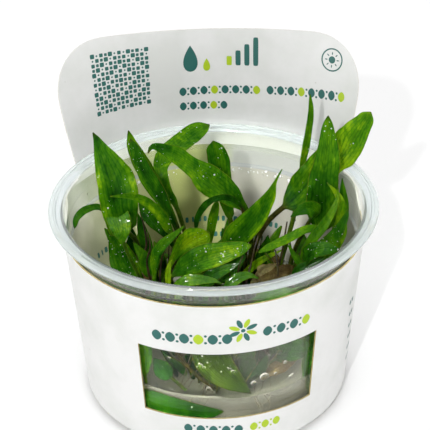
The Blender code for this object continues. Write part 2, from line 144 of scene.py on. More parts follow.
def noise(tree, scale, detail=3.0, roughness=0.55, stretch=None, distortion=0.0):
    """Noise on the object's own coordinates, so it stays with the piece."""
    place = own_place(tree)
    if stretch:
        place = node(tree, "ShaderNodeMapping", {"Vector": place, "Scale": stretch}).outputs[0]
    return node(tree, "ShaderNodeTexNoise", {
        "Vector": place, "Scale": scale, "Detail": detail, "Roughness": roughness,
        "Distortion": distortion}).outputs["Fac"]


def finish(name, **sockets):
    """A new Principled finish with some of its sockets set."""
    made = bpy.data.materials.new(name)
    made.use_nodes = True
    shader = made.node_tree.nodes["Principled BSDF"]
    for key, value in sockets.items():
        shader.inputs[key.replace("_", " ")].default_value = value
    return made, made.node_tree, shader


def bump(tree, shader, height, distance, strength=1.0):
    """Raise the surface a little by a height between 0 and 1."""
    made = node(tree, "ShaderNodeBump", {"Height": height, "Distance": distance,
                                         "Strength": strength})
    tree.links.new(made.outputs[0], shader.inputs["Normal"])


def geometry_tree(name, **inputs):
    """An empty tree of Geometry Nodes, whose inputs are named with their kinds."""
    tree = bpy.data.node_groups.new(name, "GeometryNodeTree")
    for key, kind in inputs.items():
        tree.interface.new_socket(key, in_out="INPUT", socket_type="NodeSocket" + kind)
    tree.interface.new_socket("Geometry", in_out="OUTPUT", socket_type="NodeSocketGeometry")
    return tree, node(tree, "NodeGroupInput").outputs


def real_copies(tree, geometry):
    """Turn all copies into plain geometry."""
    return node(tree, "GeometryNodeRealizeInstances", {"Geometry": geometry}).outputs[0]


def close_tree(tree, geometry, look):
    """End a tree with its geometry in one finish."""
    done = node(tree, "GeometryNodeSetMaterial", {"Geometry": geometry, "Material": look})
    node(tree, "NodeGroupOutput", {"Geometry": done.outputs[0]})

print("helpers for node trees are ready")

# %% Helpers for pieces
def piece(name, points, faces, *finishes, smooth=True, edges=()):
    """A mesh object from points in millimetres and faces or edges."""
    mesh = bpy.data.meshes.new(name)
    mesh.from_pydata([Vector(p) * MM for p in points], edges, faces)
    for made in finishes:
        mesh.materials.append(made)
    if smooth:
        mesh.shade_smooth()
    obj = bpy.data.objects.new(name, mesh)
    bpy.context.scene.collection.objects.link(obj)
    return obj


def outward(obj, merge=0.0):
    """Join points closer than a merge distance, and turn every face outwards."""
    bm = bmesh.new()
    bm.from_mesh(obj.data)
    if merge:
        bmesh.ops.remove_doubles(bm, verts=bm.verts[:], dist=merge)
    bmesh.ops.recalc_face_normals(bm, faces=bm.faces[:])
    bm.to_mesh(obj.data)
    bm.free()


def dress(obj, slot, *nodes):
    """Let a finished piece stand for its solids and move with the object."""
    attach(obj, "root")
    if nodes:
        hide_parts(*nodes)
    return obj

print("helpers for pieces are ready")

# %% [markdown]
# ## Camera, floor and light
# The camera looks down on the cup from the front with a long lens. The key light is a soft box
# at the front left, low enough to throw the leaves' shadows up on the card behind them. A
# second light is seen in reflections only: it puts the small sparks on wet leaves and drops.

# %% Camera
CAMERA_AT = Vector((-34.0, -362.3, 282.7)) * MM
LOOK = Vector((0.0805, 0.8478, -0.5242)).normalized()
ROLL = math.radians(-1.0)
FRAME_PIXELS = 430.0
FOCAL_PIXELS = 1400.0

level = LOOK.cross(Vector((0, 0, 1))).normalized()
above = level.cross(LOOK)
right = level * math.cos(ROLL) + above * math.sin(ROLL)
above = right.cross(LOOK)
camera_data = bpy.data.cameras.new("camera")
camera_data.sensor_width = 36.0
camera_data.lens = camera_data.sensor_width * FOCAL_PIXELS / FRAME_PIXELS
camera_data.clip_start = 0.01
camera = bpy.data.objects.new("camera", camera_data)
camera.matrix_world = Matrix.Translation(CAMERA_AT) @ Matrix(
    (right, above, -LOOK)).transposed().to_4x4()
bpy.context.scene.collection.objects.link(camera)
bpy.context.scene.camera = camera
print("lens:", round(camera_data.lens, 1), "mm")

# %% Floor and light
FLOOR_HALF = 3.0
FLOOR_Z = -0.2
HORIZON, ZENITH = 0.66, 1.12
KEY_FROM = Vector((-0.28, -0.79, 0.55)).normalized()
SPARK_FROM = Vector((-0.35, -0.75, 0.9)).normalized()
LIT_POINT = Vector((0, 0, 50)) * MM

floor_finish, _, _ = finish("studio_floor", Base_Color=(0.98, 0.98, 0.98, 1), Roughness=0.9,
                            Specular_IOR_Level=0.0)
floor = piece("floor", [(x * FLOOR_HALF / MM, y * FLOOR_HALF / MM, FLOOR_Z)
                        for x, y in ((-1, -1), (1, -1), (1, 1), (-1, 1))], [(0, 1, 2, 3)],
              floor_finish)

world = bpy.data.worlds.new("studio")
bpy.context.scene.world = world
world.use_nodes = True
sky = world.node_tree.nodes["Background"]
height = node(world.node_tree, "ShaderNodeSeparateXYZ", {
    "Vector": node(world.node_tree, "ShaderNodeTexCoord").outputs["Generated"]}).outputs["Z"]
world.node_tree.links.new(ramp(world.node_tree, height, (0.0, (HORIZON,) * 3),
                               (1.0, (ZENITH,) * 3)), sky.inputs["Color"])
bpy.context.scene.view_settings.view_transform = "Standard"


def soft_box(name, direction, distance, size, power):
    """A square light that faces the middle of the cup."""
    data = bpy.data.lights.new(name, "AREA")
    data.size = size
    data.energy = power
    obj = bpy.data.objects.new(name, data)
    obj.location = LIT_POINT + direction * distance
    obj.rotation_euler = (-direction).to_track_quat("-Z", "Y").to_euler()
    # its light already passes the clear cup, so it isn't counted again through the plastic
    obj.visible_transmission = False
    bpy.context.scene.collection.objects.link(obj)
    return obj


soft_box("key_light", KEY_FROM, 1.0, 0.025, 2.9)
spark = soft_box("spark_light", SPARK_FROM, 0.8, 0.06, 9.0)
spark.visible_diffuse = False
print("lights: key and sparks")

# %% [markdown]
# ## Turned pieces
# The cup and the gel are round, so each follows one rule: an outline is carried once round the
# upright axis. Geometry Nodes do this with a grid, whose rows take their radius and height
# from the outline's points and whose columns are turned step by step.

# %% A tree that turns an outline
JOINED = 0.01 * MM
SHARP_TURN = math.radians(40)


def turning_tree():
    """Geometry Nodes that turn an outline of points about Z."""
    tree, given = geometry_tree("turned piece", Outline="Geometry", Steps="Int",
                                Finish="Material")
    size = node(tree, "GeometryNodeAttributeDomainSize", {"Geometry": given["Outline"]},
                component="MESH").outputs["Point Count"]
    grid = node(tree, "GeometryNodeMeshGrid", {"Vertices X": size, "Vertices Y": given["Steps"]})
    index = node(tree, "GeometryNodeInputIndex").outputs[0]
    row = sums(tree, "FLOOR", sums(tree, "DIVIDE", sums(tree, "ADD", index, 0.5),
                                   given["Steps"]))
    column = sums(tree, "SUBTRACT", index, sums(tree, "MULTIPLY", row, given["Steps"]))
    place = node(tree, "GeometryNodeInputPosition").outputs[0]
    outline = node(tree, "GeometryNodeSampleIndex", {
        "Geometry": given["Outline"], "Value": place, "Index": row},
        data_type="FLOAT_VECTOR").outputs["Value"]
    turn = sums(tree, "DIVIDE", sums(tree, "MULTIPLY", column, math.tau),
                sums(tree, "SUBTRACT", given["Steps"], 1.0))
    turned = node(tree, "ShaderNodeVectorRotate", {"Vector": outline, "Angle": turn},
                  rotation_type="Z_AXIS").outputs[0]
    shape = node(tree, "GeometryNodeSetPosition", {"Geometry": grid.outputs["Mesh"],
                                                   "Position": turned})
    closed = node(tree, "GeometryNodeMergeByDistance", {"Geometry": shape.outputs[0],
                                                        "Distance": JOINED})
    close_tree(tree, real_copies(tree, closed.outputs[0]), given["Finish"])
    return tree


def grown(obj, tree, **values):
    """Run a tree on an object, with its inputs set by name, and keep the plain mesh."""
    modifier = obj.modifiers.new("nodes", "NODES")
    modifier.node_group = tree
    for item in tree.interface.items_tree:
        if item.item_type == "SOCKET" and item.in_out == "INPUT" and item.name in values:
            modifier[item.identifier] = values[item.name]
    bpy.context.view_layer.update()
    made = bpy.data.meshes.new_from_object(obj.evaluated_get(
        bpy.context.evaluated_depsgraph_get()))
    obj.modifiers.remove(modifier)
    obj.data = made
    made.name = obj.name
    return obj


TURNING = turning_tree()


def turned_piece(name, outline, steps, look):
    """Turn an outline of (radius, height) pairs in millimetres into a closed solid."""
    obj = piece(name, [(radius, 0.0, height) for radius, height in outline], [])
    grown(obj, TURNING, Steps=steps + 1, Finish=look)
    outward(obj, merge=JOINED)
    obj.data.shade_smooth()
    obj.data.set_sharp_from_angle(angle=SHARP_TURN)
    return obj

print("turning tree:", len(TURNING.nodes), "nodes")

# %% [markdown]
# ## The cup
# The cup is thin moulded plastic: a tapered wall, two small ledges and a wide flat rim with a
# shallow groove. It is made as glass. The wall's index is low and its shine is dimmed, so that
# little of the sky is mirrored over the window. The thick rim is cloudy, its inner lip is a
# little clearer and the base is frosted, so these have less transmission. The collar under the
# rim is smeared, and mist clings to a part of the wall. A clear piece would still stop the
# lamps' light in a render, so the cup casts no shadow.

# %% Finishes of the cup
def cup_plastic(name, clear, colour, index, shine):
    """Clear plastic; less of clear makes it cloudy, and less of shine dims what it mirrors."""
    made, tree, shader = finish(name, Base_Color=(*colour, 1), Roughness=0.05, IOR=index,
                                Transmission_Weight=clear, Specular_Tint=(*[shine] * 3, 1))
    haze = noise(tree, 160.0, 3.0)
    tree.links.new(ramp(tree, haze, (0.35, (0.015,) * 3), (0.75, (0.07,) * 3)),
                   shader.inputs["Roughness"])
    bump(tree, shader, noise(tree, 60.0, 2.0), 0.02 * MM, 0.4)
    return made


CLEAR_INDEX, CLEAR_SHINE = 1.20, 0.25
CLOUDY_INDEX, CLOUDY_SHINE = 1.42, 1.0
wall_look = cup_plastic("clear_cup_wall", 1.0, (0.97, 0.975, 0.97), CLEAR_INDEX, CLEAR_SHINE)
# the collar between the ledge and the rim is smeared with water from the leaves
collar_look = cup_plastic("smeared_cup_collar", 0.95, (0.90, 0.92, 0.87), 1.25, 0.30)
mist_look = cup_plastic("misted_cup_wall", 1.0, (0.97, 0.92, 0.80), CLEAR_INDEX, CLEAR_SHINE)
base_look = cup_plastic("frosted_cup_base", 0.40, (0.80, 0.82, 0.74), CLOUDY_INDEX,
                        CLOUDY_SHINE)
rim_look = cup_plastic("cloudy_cup_rim", 0.64, (0.80, 0.850, 0.842), CLOUDY_INDEX,
                       CLOUDY_SHINE)
lip_look = cup_plastic("clearer_cup_lip", 0.72, (0.80, 0.850, 0.855), CLOUDY_INDEX,
                       CLOUDY_SHINE)
print("cup finishes are ready")

# %% Mist on the wall
# it lies over the gel, from the leaf that hangs in the window to the leaf that stands at the
# window's right edge; the hanging leaf leans, so the mist's left edge leans with it
MIST_LEAN = 0.43
MIST_LEFT = (15.0, 17.5)
MIST_RIGHT = (22.5, 24.5)
MIST_LOW = (18.0, 20.5)
MIST_FRONT_Y = -20.0
THINNEST_MIST, THICKEST_MIST = 0.035, 0.085

tree = mist_look.node_tree
x, y, z = own_xyz(tree)
beside = stretched(tree, sums(tree, "ADD", x, share(tree, z, MIST_LEAN)),
                   MIST_LEFT[0] * MM, MIST_LEFT[1] * MM)
over_gel = stretched(tree, z, MIST_LOW[0] * MM, MIST_LOW[1] * MM)
thick = stretched(tree, noise(tree, 90.0, 3.0), 0.35, 0.65, THINNEST_MIST, THICKEST_MIST)
short_of_edge = stretched(tree, x, MIST_RIGHT[0] * MM, MIST_RIGHT[1] * MM, 1.0, 0.0)
mist = sums(tree, "LESS_THAN", y, MIST_FRONT_Y * MM)
for part in (beside, over_gel, thick, short_of_edge):
    mist = sums(tree, "MULTIPLY", mist, part)
tree.links.new(sums(tree, "SUBTRACT", 1.0, mist),
               tree.nodes["Principled BSDF"].inputs["Transmission Weight"])
print("mist:", len(tree.nodes), "nodes")

# %% Cup
# points of (radius, height), up the outside and then down the inside
CUP_OUTSIDE = [(0.0, 0.0), (36.5, 0.0), (38.7, 0.3), (40.2, 1.1), (40.9, 2.4), (44.4, 50.0),
               (44.7, 51.0), (45.0, 51.7), (45.2, 56.9), (45.5, 57.7), (45.95, 58.4),
               (46.15, 61.9), (46.5, 62.7), (47.4, 63.05), (49.4, 63.05), (49.85, 63.2),
               (50.0, 63.55)]
CUP_INSIDE = [(49.85, 63.85), (49.5, 63.95), (48.7, 63.95), (48.4, 63.6), (48.0, 63.6),
              (47.65, 64.0), (46.4, 64.0), (45.8, 63.75), (45.35, 63.1), (45.1, 58.8),
              (44.8, 58.1), (44.35, 57.3), (44.2, 52.4), (43.9, 51.8), (43.6, 51.2),
              (40.1, 2.6), (39.6, 1.6), (38.5, 0.95), (36.6, 0.8), (0.0, 0.8)]
BASE_TOP_Z = 1.0
MIST_Z = (20.0, 40.0)
LEDGE_Z = (51.4, 52.3)
COLLAR_Z = 57.2
RIM_Z = 62.5
LIP_R = 48.1
WALL, RIM, BASE, MIST, COLLAR, LIP = range(6)


def cup_part(face):
    """Which part of the cup a face belongs to, by its height and side."""
    x, y, z = face.center / MM
    inner = face.normal.x * x + face.normal.y * y < 0.0
    if z > RIM_Z:
        return LIP if math.hypot(x, y) < LIP_R else RIM
    if inner and LEDGE_Z[0] < z < LEDGE_Z[1]:
        return RIM
    if z > COLLAR_Z:
        return COLLAR
    if z < BASE_TOP_Z:
        return BASE
    return MIST if inner and MIST_Z[0] < z < MIST_Z[1] else WALL


cup = turned_piece("growing_cup", CUP_OUTSIDE + CUP_INSIDE, 160, wall_look)
cup.data.materials.clear()
for look in (wall_look, rim_look, base_look, mist_look, collar_look, lip_look):
    cup.data.materials.append(look)
for face in cup.data.polygons:
    face.material_index = cup_part(face)
cup.visible_shadow = False
dress(cup, "cup_plastic", "cup")
print("cup:", len(cup.data.polygons), "faces")

# %% [markdown]
# ## The gel
# Clear nutrient gel fills the bottom of the cup and climbs a little up the wall. Its index is
# close to water's, and a constant absorption gives it a faint yellow tint with depth. It is
# a little milky at its surface, most of all where it touches the wall. One leaf is pressed
# to the wall in a shallow hollow of it.

# %% Finish of the gel
def smooth_step(low, high, value):
    """0 below low, 1 above high, with an S-shaped change between them."""
    t = min(1.0, max(0.0, (value - low) / (high - low)))
    return t * t * (3.0 - 2.0 * t)


def from_axis(tree, place):
    """How far a place lies from the upright axis."""
    level = node(tree, "ShaderNodeVectorMath", {0: place, 1: (1.0, 1.0, 0.0)},
                 operation="MULTIPLY").outputs["Vector"]
    return node(tree, "ShaderNodeVectorMath", {0: level}, operation="LENGTH").outputs["Value"]


gel_look, tree, shader = finish("clear_gel", Base_Color=(0.78, 0.81, 0.70, 1), Roughness=0.06,
                                IOR=1.34, Transmission_Weight=0.9,
                                Specular_Tint=(0.4, 0.4, 0.4, 1))
bump(tree, shader, noise(tree, 130.0, 3.0), 0.25 * MM, 0.8)
# level milky streaks, stronger at the wall than on the top
NEAR_WALL = (36.5, 38.5)
ON_TOP = 0.4
at_wall = stretched(tree, from_axis(tree, own_place(tree)), NEAR_WALL[0] * MM,
                    NEAR_WALL[1] * MM, ON_TOP, 1.0)
streaks = noise(tree, 60.0, 3.0, 0.6, (1.0, 1.0, 5.0), 0.6)
milky = sums(tree, "MULTIPLY", stretched(tree, streaks, 0.36, 0.68, 0.15, 0.27), at_wall)
tree.links.new(sums(tree, "SUBTRACT", 1.0, milky), shader.inputs["Transmission Weight"])
depth = node(tree, "ShaderNodeVolumeAbsorption", {"Color": (0.66, 0.68, 0.48, 1.0),
                                                  "Density": 26.0})
tree.links.new(depth.outputs[0], tree.nodes["Material Output"].inputs["Volume"])
print("gel's finish:", len(tree.nodes), "nodes")

# %% Gel
HOLLOW_DEPTH = 1.7
HOLLOW_LOW_Z = (8.6, 10.2)
HOLLOW_LEFT, HOLLOW_RIGHT = (-52.0, -46.0), (-5.0, 0.0)
HOLLOW_R = (38.7, 39.8)
GEL_OUTLINE = [(0.0, 1.15), (38.2, 1.15), (39.4, 2.2), (39.7, 3.2), (40.09, 8.7), (40.14, 9.4),
               (40.2, 10.2), (40.4, 13.0), (40.62, 16.3), (40.85, 19.6), (40.6, 19.9),
               (39.9, 19.3), (38.6, 18.9), (34.0, 18.7), (0.0, 18.6)]
gel = turned_piece("nutrient_gel", GEL_OUTLINE, 120, gel_look)
for vertex in gel.data.vertices:
    place = vertex.co / MM
    out = math.hypot(place.x, place.y)
    turn = math.degrees(math.atan2(place.x, -place.y))
    inward = (HOLLOW_DEPTH * smooth_step(*HOLLOW_LOW_Z, place.z)
              * smooth_step(*HOLLOW_LEFT, turn) * (1.0 - smooth_step(*HOLLOW_RIGHT, turn))
              * smooth_step(*HOLLOW_R, out))
    if inward:
        vertex.co *= Vector(((out - inward) / out, (out - inward) / out, 1.0))
dress(gel, "gel", "gel")
print("gel:", len(gel.data.polygons), "faces")

# %% [markdown]
# ## The card sleeve
# One strip of white card goes round the cup. At the back it leaves the wall, passes outside
# the rim and stands up as a tall tab with round corners. Every point of it is found from two
# numbers, the distance along the card and the height, so the print can use the same rule.

# %% Shape of the card
CARD_THICK = 0.5
SLEEVE_Z = (2.0, 56.9)
SLEEVE_R = (41.55, 45.85)
TAB_TURN = -4.0
TAB_HALF = 51.5
TAB_TOP_Z = 97.3
TAB_CORNER_R = 17.0
TAB_BACK_Y = 52.0
TAB_TOP_CURVE_R = 130.0
RIM_PASS_Z = 63.0
RIM_PASS_R = 50.75
FLARE_START_Z = 22.0
FLARE_ANGLES = (59.5, 88.0)
WINDOW_HALF = 35.7
WINDOW_Z = (14.1, 39.5)
PER_DEGREE = math.radians(1.0) * RIM_PASS_R


def card_point(along, height):
    """A point in the middle of the card's thickness."""
    angle = along / PER_DEGREE
    if height <= RIM_PASS_Z:
        cone = SLEEVE_R[0] + (SLEEVE_R[1] - SLEEVE_R[0]) * (
            (height - SLEEVE_Z[0]) / (SLEEVE_Z[1] - SLEEVE_Z[0]))
        flare = smooth_step(FLARE_START_Z, RIM_PASS_Z, height)
        flare *= 1.0 - smooth_step(*FLARE_ANGLES, abs(angle))
        radius = cone + (RIM_PASS_R - cone) * flare
        x, y = radius * math.sin(math.radians(angle)), radius * math.cos(math.radians(angle))
    else:
        part = (height - RIM_PASS_Z) / (TAB_TOP_Z - RIM_PASS_Z)
        bend = (1.0 - part) / RIM_PASS_R + part / TAB_TOP_CURVE_R
        x = math.sin(along * bend) / bend
        y = RIM_PASS_R + (TAB_BACK_Y - RIM_PASS_R) * part - (1 - math.cos(along * bend)) / bend
    tilt = math.radians(TAB_TURN)
    return Vector((x * math.cos(tilt) - y * math.sin(tilt),
                   x * math.sin(tilt) + y * math.cos(tilt), height))


def card_spot(along, height, lift):
    """A point beside the card; a positive lift is on its outer side."""
    step = 0.05
    across = card_point(along + step, height) - card_point(along - step, height)
    upright = card_point(along, height + step) - card_point(along, height - step)
    return card_point(along, height) + upright.cross(across).normalized() * lift


def front_along(angle):
    """The distance along the card at an angle from the front, positive to the right."""
    return (180.0 - angle + TAB_TURN) * PER_DEGREE


def tab_top(along):
    """Height of the tab's outline at a distance along the card."""
    past = abs(along) - (TAB_HALF - TAB_CORNER_R)
    if past <= 0.0:
        return TAB_TOP_Z
    return TAB_TOP_Z - TAB_CORNER_R + math.sqrt(max(0.0, TAB_CORNER_R ** 2 - past ** 2))


outer_side = card_spot(0.0, 40.0, 1.0).y > card_point(0.0, 40.0).y
print("card's outer side is found:", outer_side)

# %% Finishes of the card
SPECK_SIZE, SPECK_SHARE = 0.05, 0.35
SPECK_BROWN = (0.32, 0.30, 0.22)


def card_finish(name, dull, clean, scale, **sockets):
    """Card with faint stains, a few dark specks and a fibrous surface."""
    made, tree, shader = finish(name, **sockets)
    stain = noise(tree, scale, 4.0, 0.6)
    shade = ramp(tree, stain, (0.34, dull), (0.62, clean))
    speck = node(tree, "ShaderNodeTexVoronoi", {"Vector": own_place(tree), "Scale": 95.0})
    small = sums(tree, "LESS_THAN", speck.outputs["Distance"],
                 share(tree, noise(tree, 40.0, 1.0), SPECK_SIZE))
    bump(tree, shader, noise(tree, 1400.0, 2.0), 0.02 * MM, 0.4)
    return tree, shader, made, mixed(tree, share(tree, small, SPECK_SHARE), shade, SPECK_BROWN)


tree, shader, card_look, colour = card_finish("white_card", (0.685, 0.695, 0.67),
                                              (0.765, 0.765, 0.755), 55.0, Roughness=0.5,
                                              Specular_IOR_Level=0.3)
tree.links.new(colour, shader.inputs["Base Color"])

# the inner face has a damp stain under painted light: olive is painted green bounce light and
# shade from the leaves, paler to the left is painted light and grey at the right painted shade,
# which even out how the key light falls
SIDE_SPAN_HALF = 45.0
LEDGE_BAND_FROM_Z = 56.2
tree, shader, inner_look, colour = card_finish("damp_card", (0.86, 0.87, 0.84),
                                               (1.0, 1.0, 1.0), 30.0, Roughness=0.7,
                                               Specular_IOR_Level=0.1)
x, _, z = own_xyz(tree)
side = stretched(tree, x, -SIDE_SPAN_HALF * MM, SIDE_SPAN_HALF * MM)
side = sums(tree, "ADD", side, share(tree, noise(tree, 45.0, 3.0), 0.12, 0.5))
# this ramp is the painted bounce light and shade across the inner face
damp = ramp(tree, side, (0.02, (0.86, 0.88, 0.78)), (0.075, (0.48, 0.52, 0.37)),
            (0.30, (0.35, 0.39, 0.19)), (0.42, (0.32, 0.365, 0.135)), (0.57, (0.30, 0.34, 0.14)),
            (0.64, (0.36, 0.37, 0.34)))
# above the wall's ledge there is no olive; the card there has the rim's painted shade, paler to
# the left and darker at the right
ledge_band_painted_shade = ramp(tree, side, (0.06, (0.90, 0.905, 0.86)), (0.34, (0.62, 0.625, 0.59)))
damp = mixed(tree, sums(tree, "GREATER_THAN", z, LEDGE_BAND_FROM_Z * MM), damp, ledge_band_painted_shade)
tree.links.new(mixed(tree, 1.0, damp, colour, "MULTIPLY"), shader.inputs["Base Color"])


def edge_finish(name, dark, light):
    """The cut edge of the card, where its fibres show."""
    made, tree, shader = finish(name, Roughness=0.8)
    tree.links.new(ramp(tree, noise(tree, 900.0), (0.3, dark), (0.7, light)),
                   shader.inputs["Base Color"])
    return made


edge_look = edge_finish("card_edge", (0.66, 0.64, 0.58), (0.80, 0.79, 0.75))
brown_edge_look = edge_finish("card_edge_brown", (0.30, 0.22, 0.07), (0.52, 0.43, 0.20))
print("card finishes are ready")

# %% The sleeve's sheet
TAB_STEPS, CORNER_STEPS, SIDE_STEPS, WINDOW_STEPS = 16, 12, 32, 16
TAB_ROWS = 16
SLEEVE_ROWS = (SLEEVE_Z[0], 6.0, 10.0, WINDOW_Z[0], 18.0, 22.0, 26.0, 30.0, 34.0, 37.0,
               WINDOW_Z[1], 43.0, 47.0, 50.0, 53.0, 55.0, SLEEVE_Z[1])
TAB_FOOT_ROWS = (59.0, 61.0)


def sleeve_columns():
    """Distances along the card of its upright lines, once round."""
    flat = TAB_HALF - TAB_CORNER_R
    half = [flat * step / TAB_STEPS for step in range(TAB_STEPS + 1)]
    half += [flat + TAB_CORNER_R * math.sin(math.pi * turn / (2 * CORNER_STEPS))
             for turn in range(1, CORNER_STEPS + 1)]
    edge = TAB_HALF / PER_DEGREE
    sides = []
    for side in (-1, 1):
        window = 180.0 + side * TAB_TURN - WINDOW_HALF
        angles = [edge + (window - edge) * step / SIDE_STEPS
                  for step in range(1, SIDE_STEPS + 1)]
        # the last line at the front's middle belongs to one side only
        angles += [window + WINDOW_HALF * step / WINDOW_STEPS
                   for step in range(1, WINDOW_STEPS + (side < 0))]
        sides.append([side * value for value in half] + [side * a * PER_DEGREE for a in angles])
    return sides[0][::-1] + sides[1][1:]


def sleeve_sheet():
    """The card as one sheet of quads with the window left open."""
    columns = sleeve_columns()
    points, faces, grid = [], [], []
    for along in columns:
        heights = list(SLEEVE_ROWS)
        if abs(along) <= TAB_HALF + 0.01:
            top = tab_top(along)
            heights += [*TAB_FOOT_ROWS] + [RIM_PASS_Z + (top - RIM_PASS_Z) * step / TAB_ROWS
                                           for step in range(TAB_ROWS + 1)]
        grid.append([len(points) + row for row in range(len(heights))])
        points += [card_point(along, height) for height in heights]
    for index, low in enumerate(grid):
        high = grid[(index + 1) % len(grid)]
        end = columns[index + 1] if index + 1 < len(columns) else columns[0] + 360 * PER_DEGREE
        angle = (columns[index] + end) / 2 / PER_DEGREE - TAB_TURN
        for row in range(min(len(low), len(high)) - 1):
            middle = (points[low[row]].z + points[low[row + 1]].z) / 2
            if not (WINDOW_Z[0] < middle < WINDOW_Z[1]
                    and abs(abs(angle) - 180.0) < WINDOW_HALF):
                faces.append((low[row], high[row], high[row + 1], low[row + 1]))
    return points, faces


sheet_points, sheet_faces = sleeve_sheet()
print("sheet:", len(sheet_points), "points")

# %% Sleeve
# finishes of the card's faces; 0 is the outer face
EDGE, INNER, BROWN_EDGE = 1, 2, 3
INNER_TOP_Z = 62.6
sleeve = piece("card_sleeve", sheet_points, sheet_faces, card_look, edge_look, inner_look,
               brown_edge_look)
thick = sleeve.modifiers.new("card", "SOLIDIFY")
thick.thickness = CARD_THICK * MM
thick.offset = 0.0
thick.material_offset_rim = EDGE
thick.use_even_offset = True
sleeve.data = bpy.data.meshes.new_from_object(sleeve.evaluated_get(
    bpy.context.evaluated_depsgraph_get()))
sleeve.modifiers.clear()
outward(sleeve)
for face in sleeve.data.polygons:
    spot = face.center / MM
    if face.material_index == EDGE:
        # the window's edges and the upper edge at the front are brown with damp
        if spot.y < 0 and spot.z > WINDOW_Z[0] - 1:
            face.material_index = BROWN_EDGE
    elif spot.z < INNER_TOP_Z and face.normal.dot(Vector((spot.x, spot.y, 0))) < 0:
        face.material_index = INNER
sleeve.data.set_sharp_from_angle(angle=math.radians(35))
dress(sleeve, "card", "sleeve")
print("sleeve:", len(sleeve.data.polygons), "faces")

# %% The card's overlap
# where the strip closes, its end lies on the inner side as a second layer, whose upper edge
# rises from the strip's end to the full height
OVERLAP_ENDS = (9.3, 36.0)
OVERLAP_COLUMNS, OVERLAP_ROWS = 15, 3
OVERLAP_LOW_Z = 56.0
OVERLAP_FULL, OVERLAP_FULL_FROM = 6.7, 22.0
OVERLAP_START, OVERLAP_RISE = 4.7, 0.157
OVERLAP_LIFTS = (-0.30, -0.48)


def overlap_height(along):
    """How high the second layer stands at a distance along the card."""
    if along > OVERLAP_FULL_FROM:
        return OVERLAP_FULL
    return OVERLAP_START + (along - OVERLAP_ENDS[0]) * OVERLAP_RISE


def slab_faces(columns, rows):
    """Faces that close two equal sheets of points, one after the other, to a slab."""
    back = columns * rows
    sheet = [column * rows + row for column in range(columns - 1) for row in range(rows - 1)]
    long_edges = [column * rows + row for column in range(columns - 1) for row in (0, rows - 1)]
    ends = [column * rows + row for column in (0, columns - 1) for row in range(rows - 1)]
    return ([(a, a + 1, a + rows + 1, a + rows) for a in sheet]
            + [(back + a, back + a + rows, back + a + rows + 1, back + a + 1) for a in sheet]
            + [(a, a + rows, back + a + rows, back + a) for a in long_edges]
            + [(a, a + 1, back + a + 1, back + a) for a in ends])


overlap_spots = [(along, OVERLAP_LOW_Z + overlap_height(along) * row / (OVERLAP_ROWS - 1))
                 for along in np.linspace(*OVERLAP_ENDS, OVERLAP_COLUMNS)
                 for row in range(OVERLAP_ROWS)]
overlap = piece("card_overlap", [card_spot(*spot, lift) for lift in OVERLAP_LIFTS
                                 for spot in overlap_spots],
                slab_faces(OVERLAP_COLUMNS, OVERLAP_ROWS), inner_look, smooth=False)
outward(overlap)
dress(overlap, "card")
print("overlap:", len(overlap.data.polygons), "faces")

# %% [markdown]
# ## Print on the card
# The print is plain ornament in deep green and lime: bands of lozenges and beads, a square of
# woven pattern, a drop, a small gauge, a sun in a ring and a round flower. Each motif is drawn
# flat in millimetres and then laid on the card by its rule, a few hundredths of a millimetre
# proud, so it stays sharp at any size.

# %% Motifs
INK_ROUGHNESS = 0.45
ink_deep, _, _ = finish("ink_deep_green", Base_Color=(0.010, 0.115, 0.098, 1),
                        Roughness=INK_ROUGHNESS)
ink_lime, _, _ = finish("ink_lime", Base_Color=(0.40, 0.56, 0.006, 1),
                        Roughness=INK_ROUGHNESS)
INKS = (ink_deep, ink_lime)
DEEP, LIME = 0, 1
OUTSIDE_LIFT, INSIDE_LIFT = 0.29, -0.29


def oval(x, y, width, height, turn=0.0, power=1.0, count=20):
    """A closed outline; power 1 is an ellipse and a larger one is more like a lozenge."""
    spots = []
    for step in range(count):
        angle = math.tau * step / count
        c, s = math.cos(angle), math.sin(angle)
        dx = math.copysign(abs(c) ** power, c) * width / 2
        dy = math.copysign(abs(s) ** power, s) * height / 2
        spots.append((x + dx * math.cos(turn) - dy * math.sin(turn),
                      y + dx * math.sin(turn) + dy * math.cos(turn)))
    return spots


def ring(x, y, radius, width, count=40):
    """Quads of a ring as a list of four-cornered outlines."""
    quads = []
    for step in range(count):
        a, b = math.tau * step / count, math.tau * (step + 1) / count
        quads.append([(x + r * math.cos(t), y + r * math.sin(t))
                      for r, t in ((radius, a), (radius + width, a),
                                   (radius + width, b), (radius, b))])
    return quads


def drop(x, y, half_width, half_height, count):
    """The outline of a drop with its point at the top."""
    turns = [math.tau * step / count for step in range(count)]
    return [(x + half_width * math.sin(t) * math.sin(t / 2), y + half_height * math.cos(t))
            for t in turns]


def garland(x, y, length, size, rise=0.0, accent=4):
    """A band of lozenges with beads between them; every so many it has a lime one."""
    count = max(2, round(length / (size * 1.12)))
    bead_size = size * 0.24
    shapes = []
    for step in range(count):
        place = x + length * (step + 0.5) / count
        height = y + rise * (step + 0.5) / count
        ink = LIME if step % accent == accent - 1 else DEEP
        shapes.append((ink, oval(place, height, size * 0.80, size, 0.0, 1.15)))
        bead = place + length / count / 2
        if step < count - 1:
            for rise_by in (-0.34, 0.34):
                shapes.append((DEEP, oval(bead, height + size * rise_by, bead_size, bead_size,
                                          0.0, 1.0, 10)))
    return shapes


def printed(name, shapes, lift, to_card):
    """Lay flat shapes on the card as one piece of thin ink."""
    points, faces, inks = [], [], []
    for ink, outline in shapes:
        start = len(points)
        points += [card_spot(*to_card(*spot), lift) for spot in outline]
        faces.append(tuple(range(start, start + len(outline))))
        inks.append(ink)
    obj = piece(name, points, faces, *INKS, smooth=False)
    obj.data.polygons.foreach_set("material_index", inks)
    outside = obj.data.polygons[0]
    centre = Vector(outside.center) / MM
    away = centre - Vector((0, 0, centre.z))
    if (outside.normal.dot(away) > 0) != (lift > 0):
        obj.data.flip_normals()
    return dress(obj, "card")

print("inks:", [ink.name for ink in INKS])

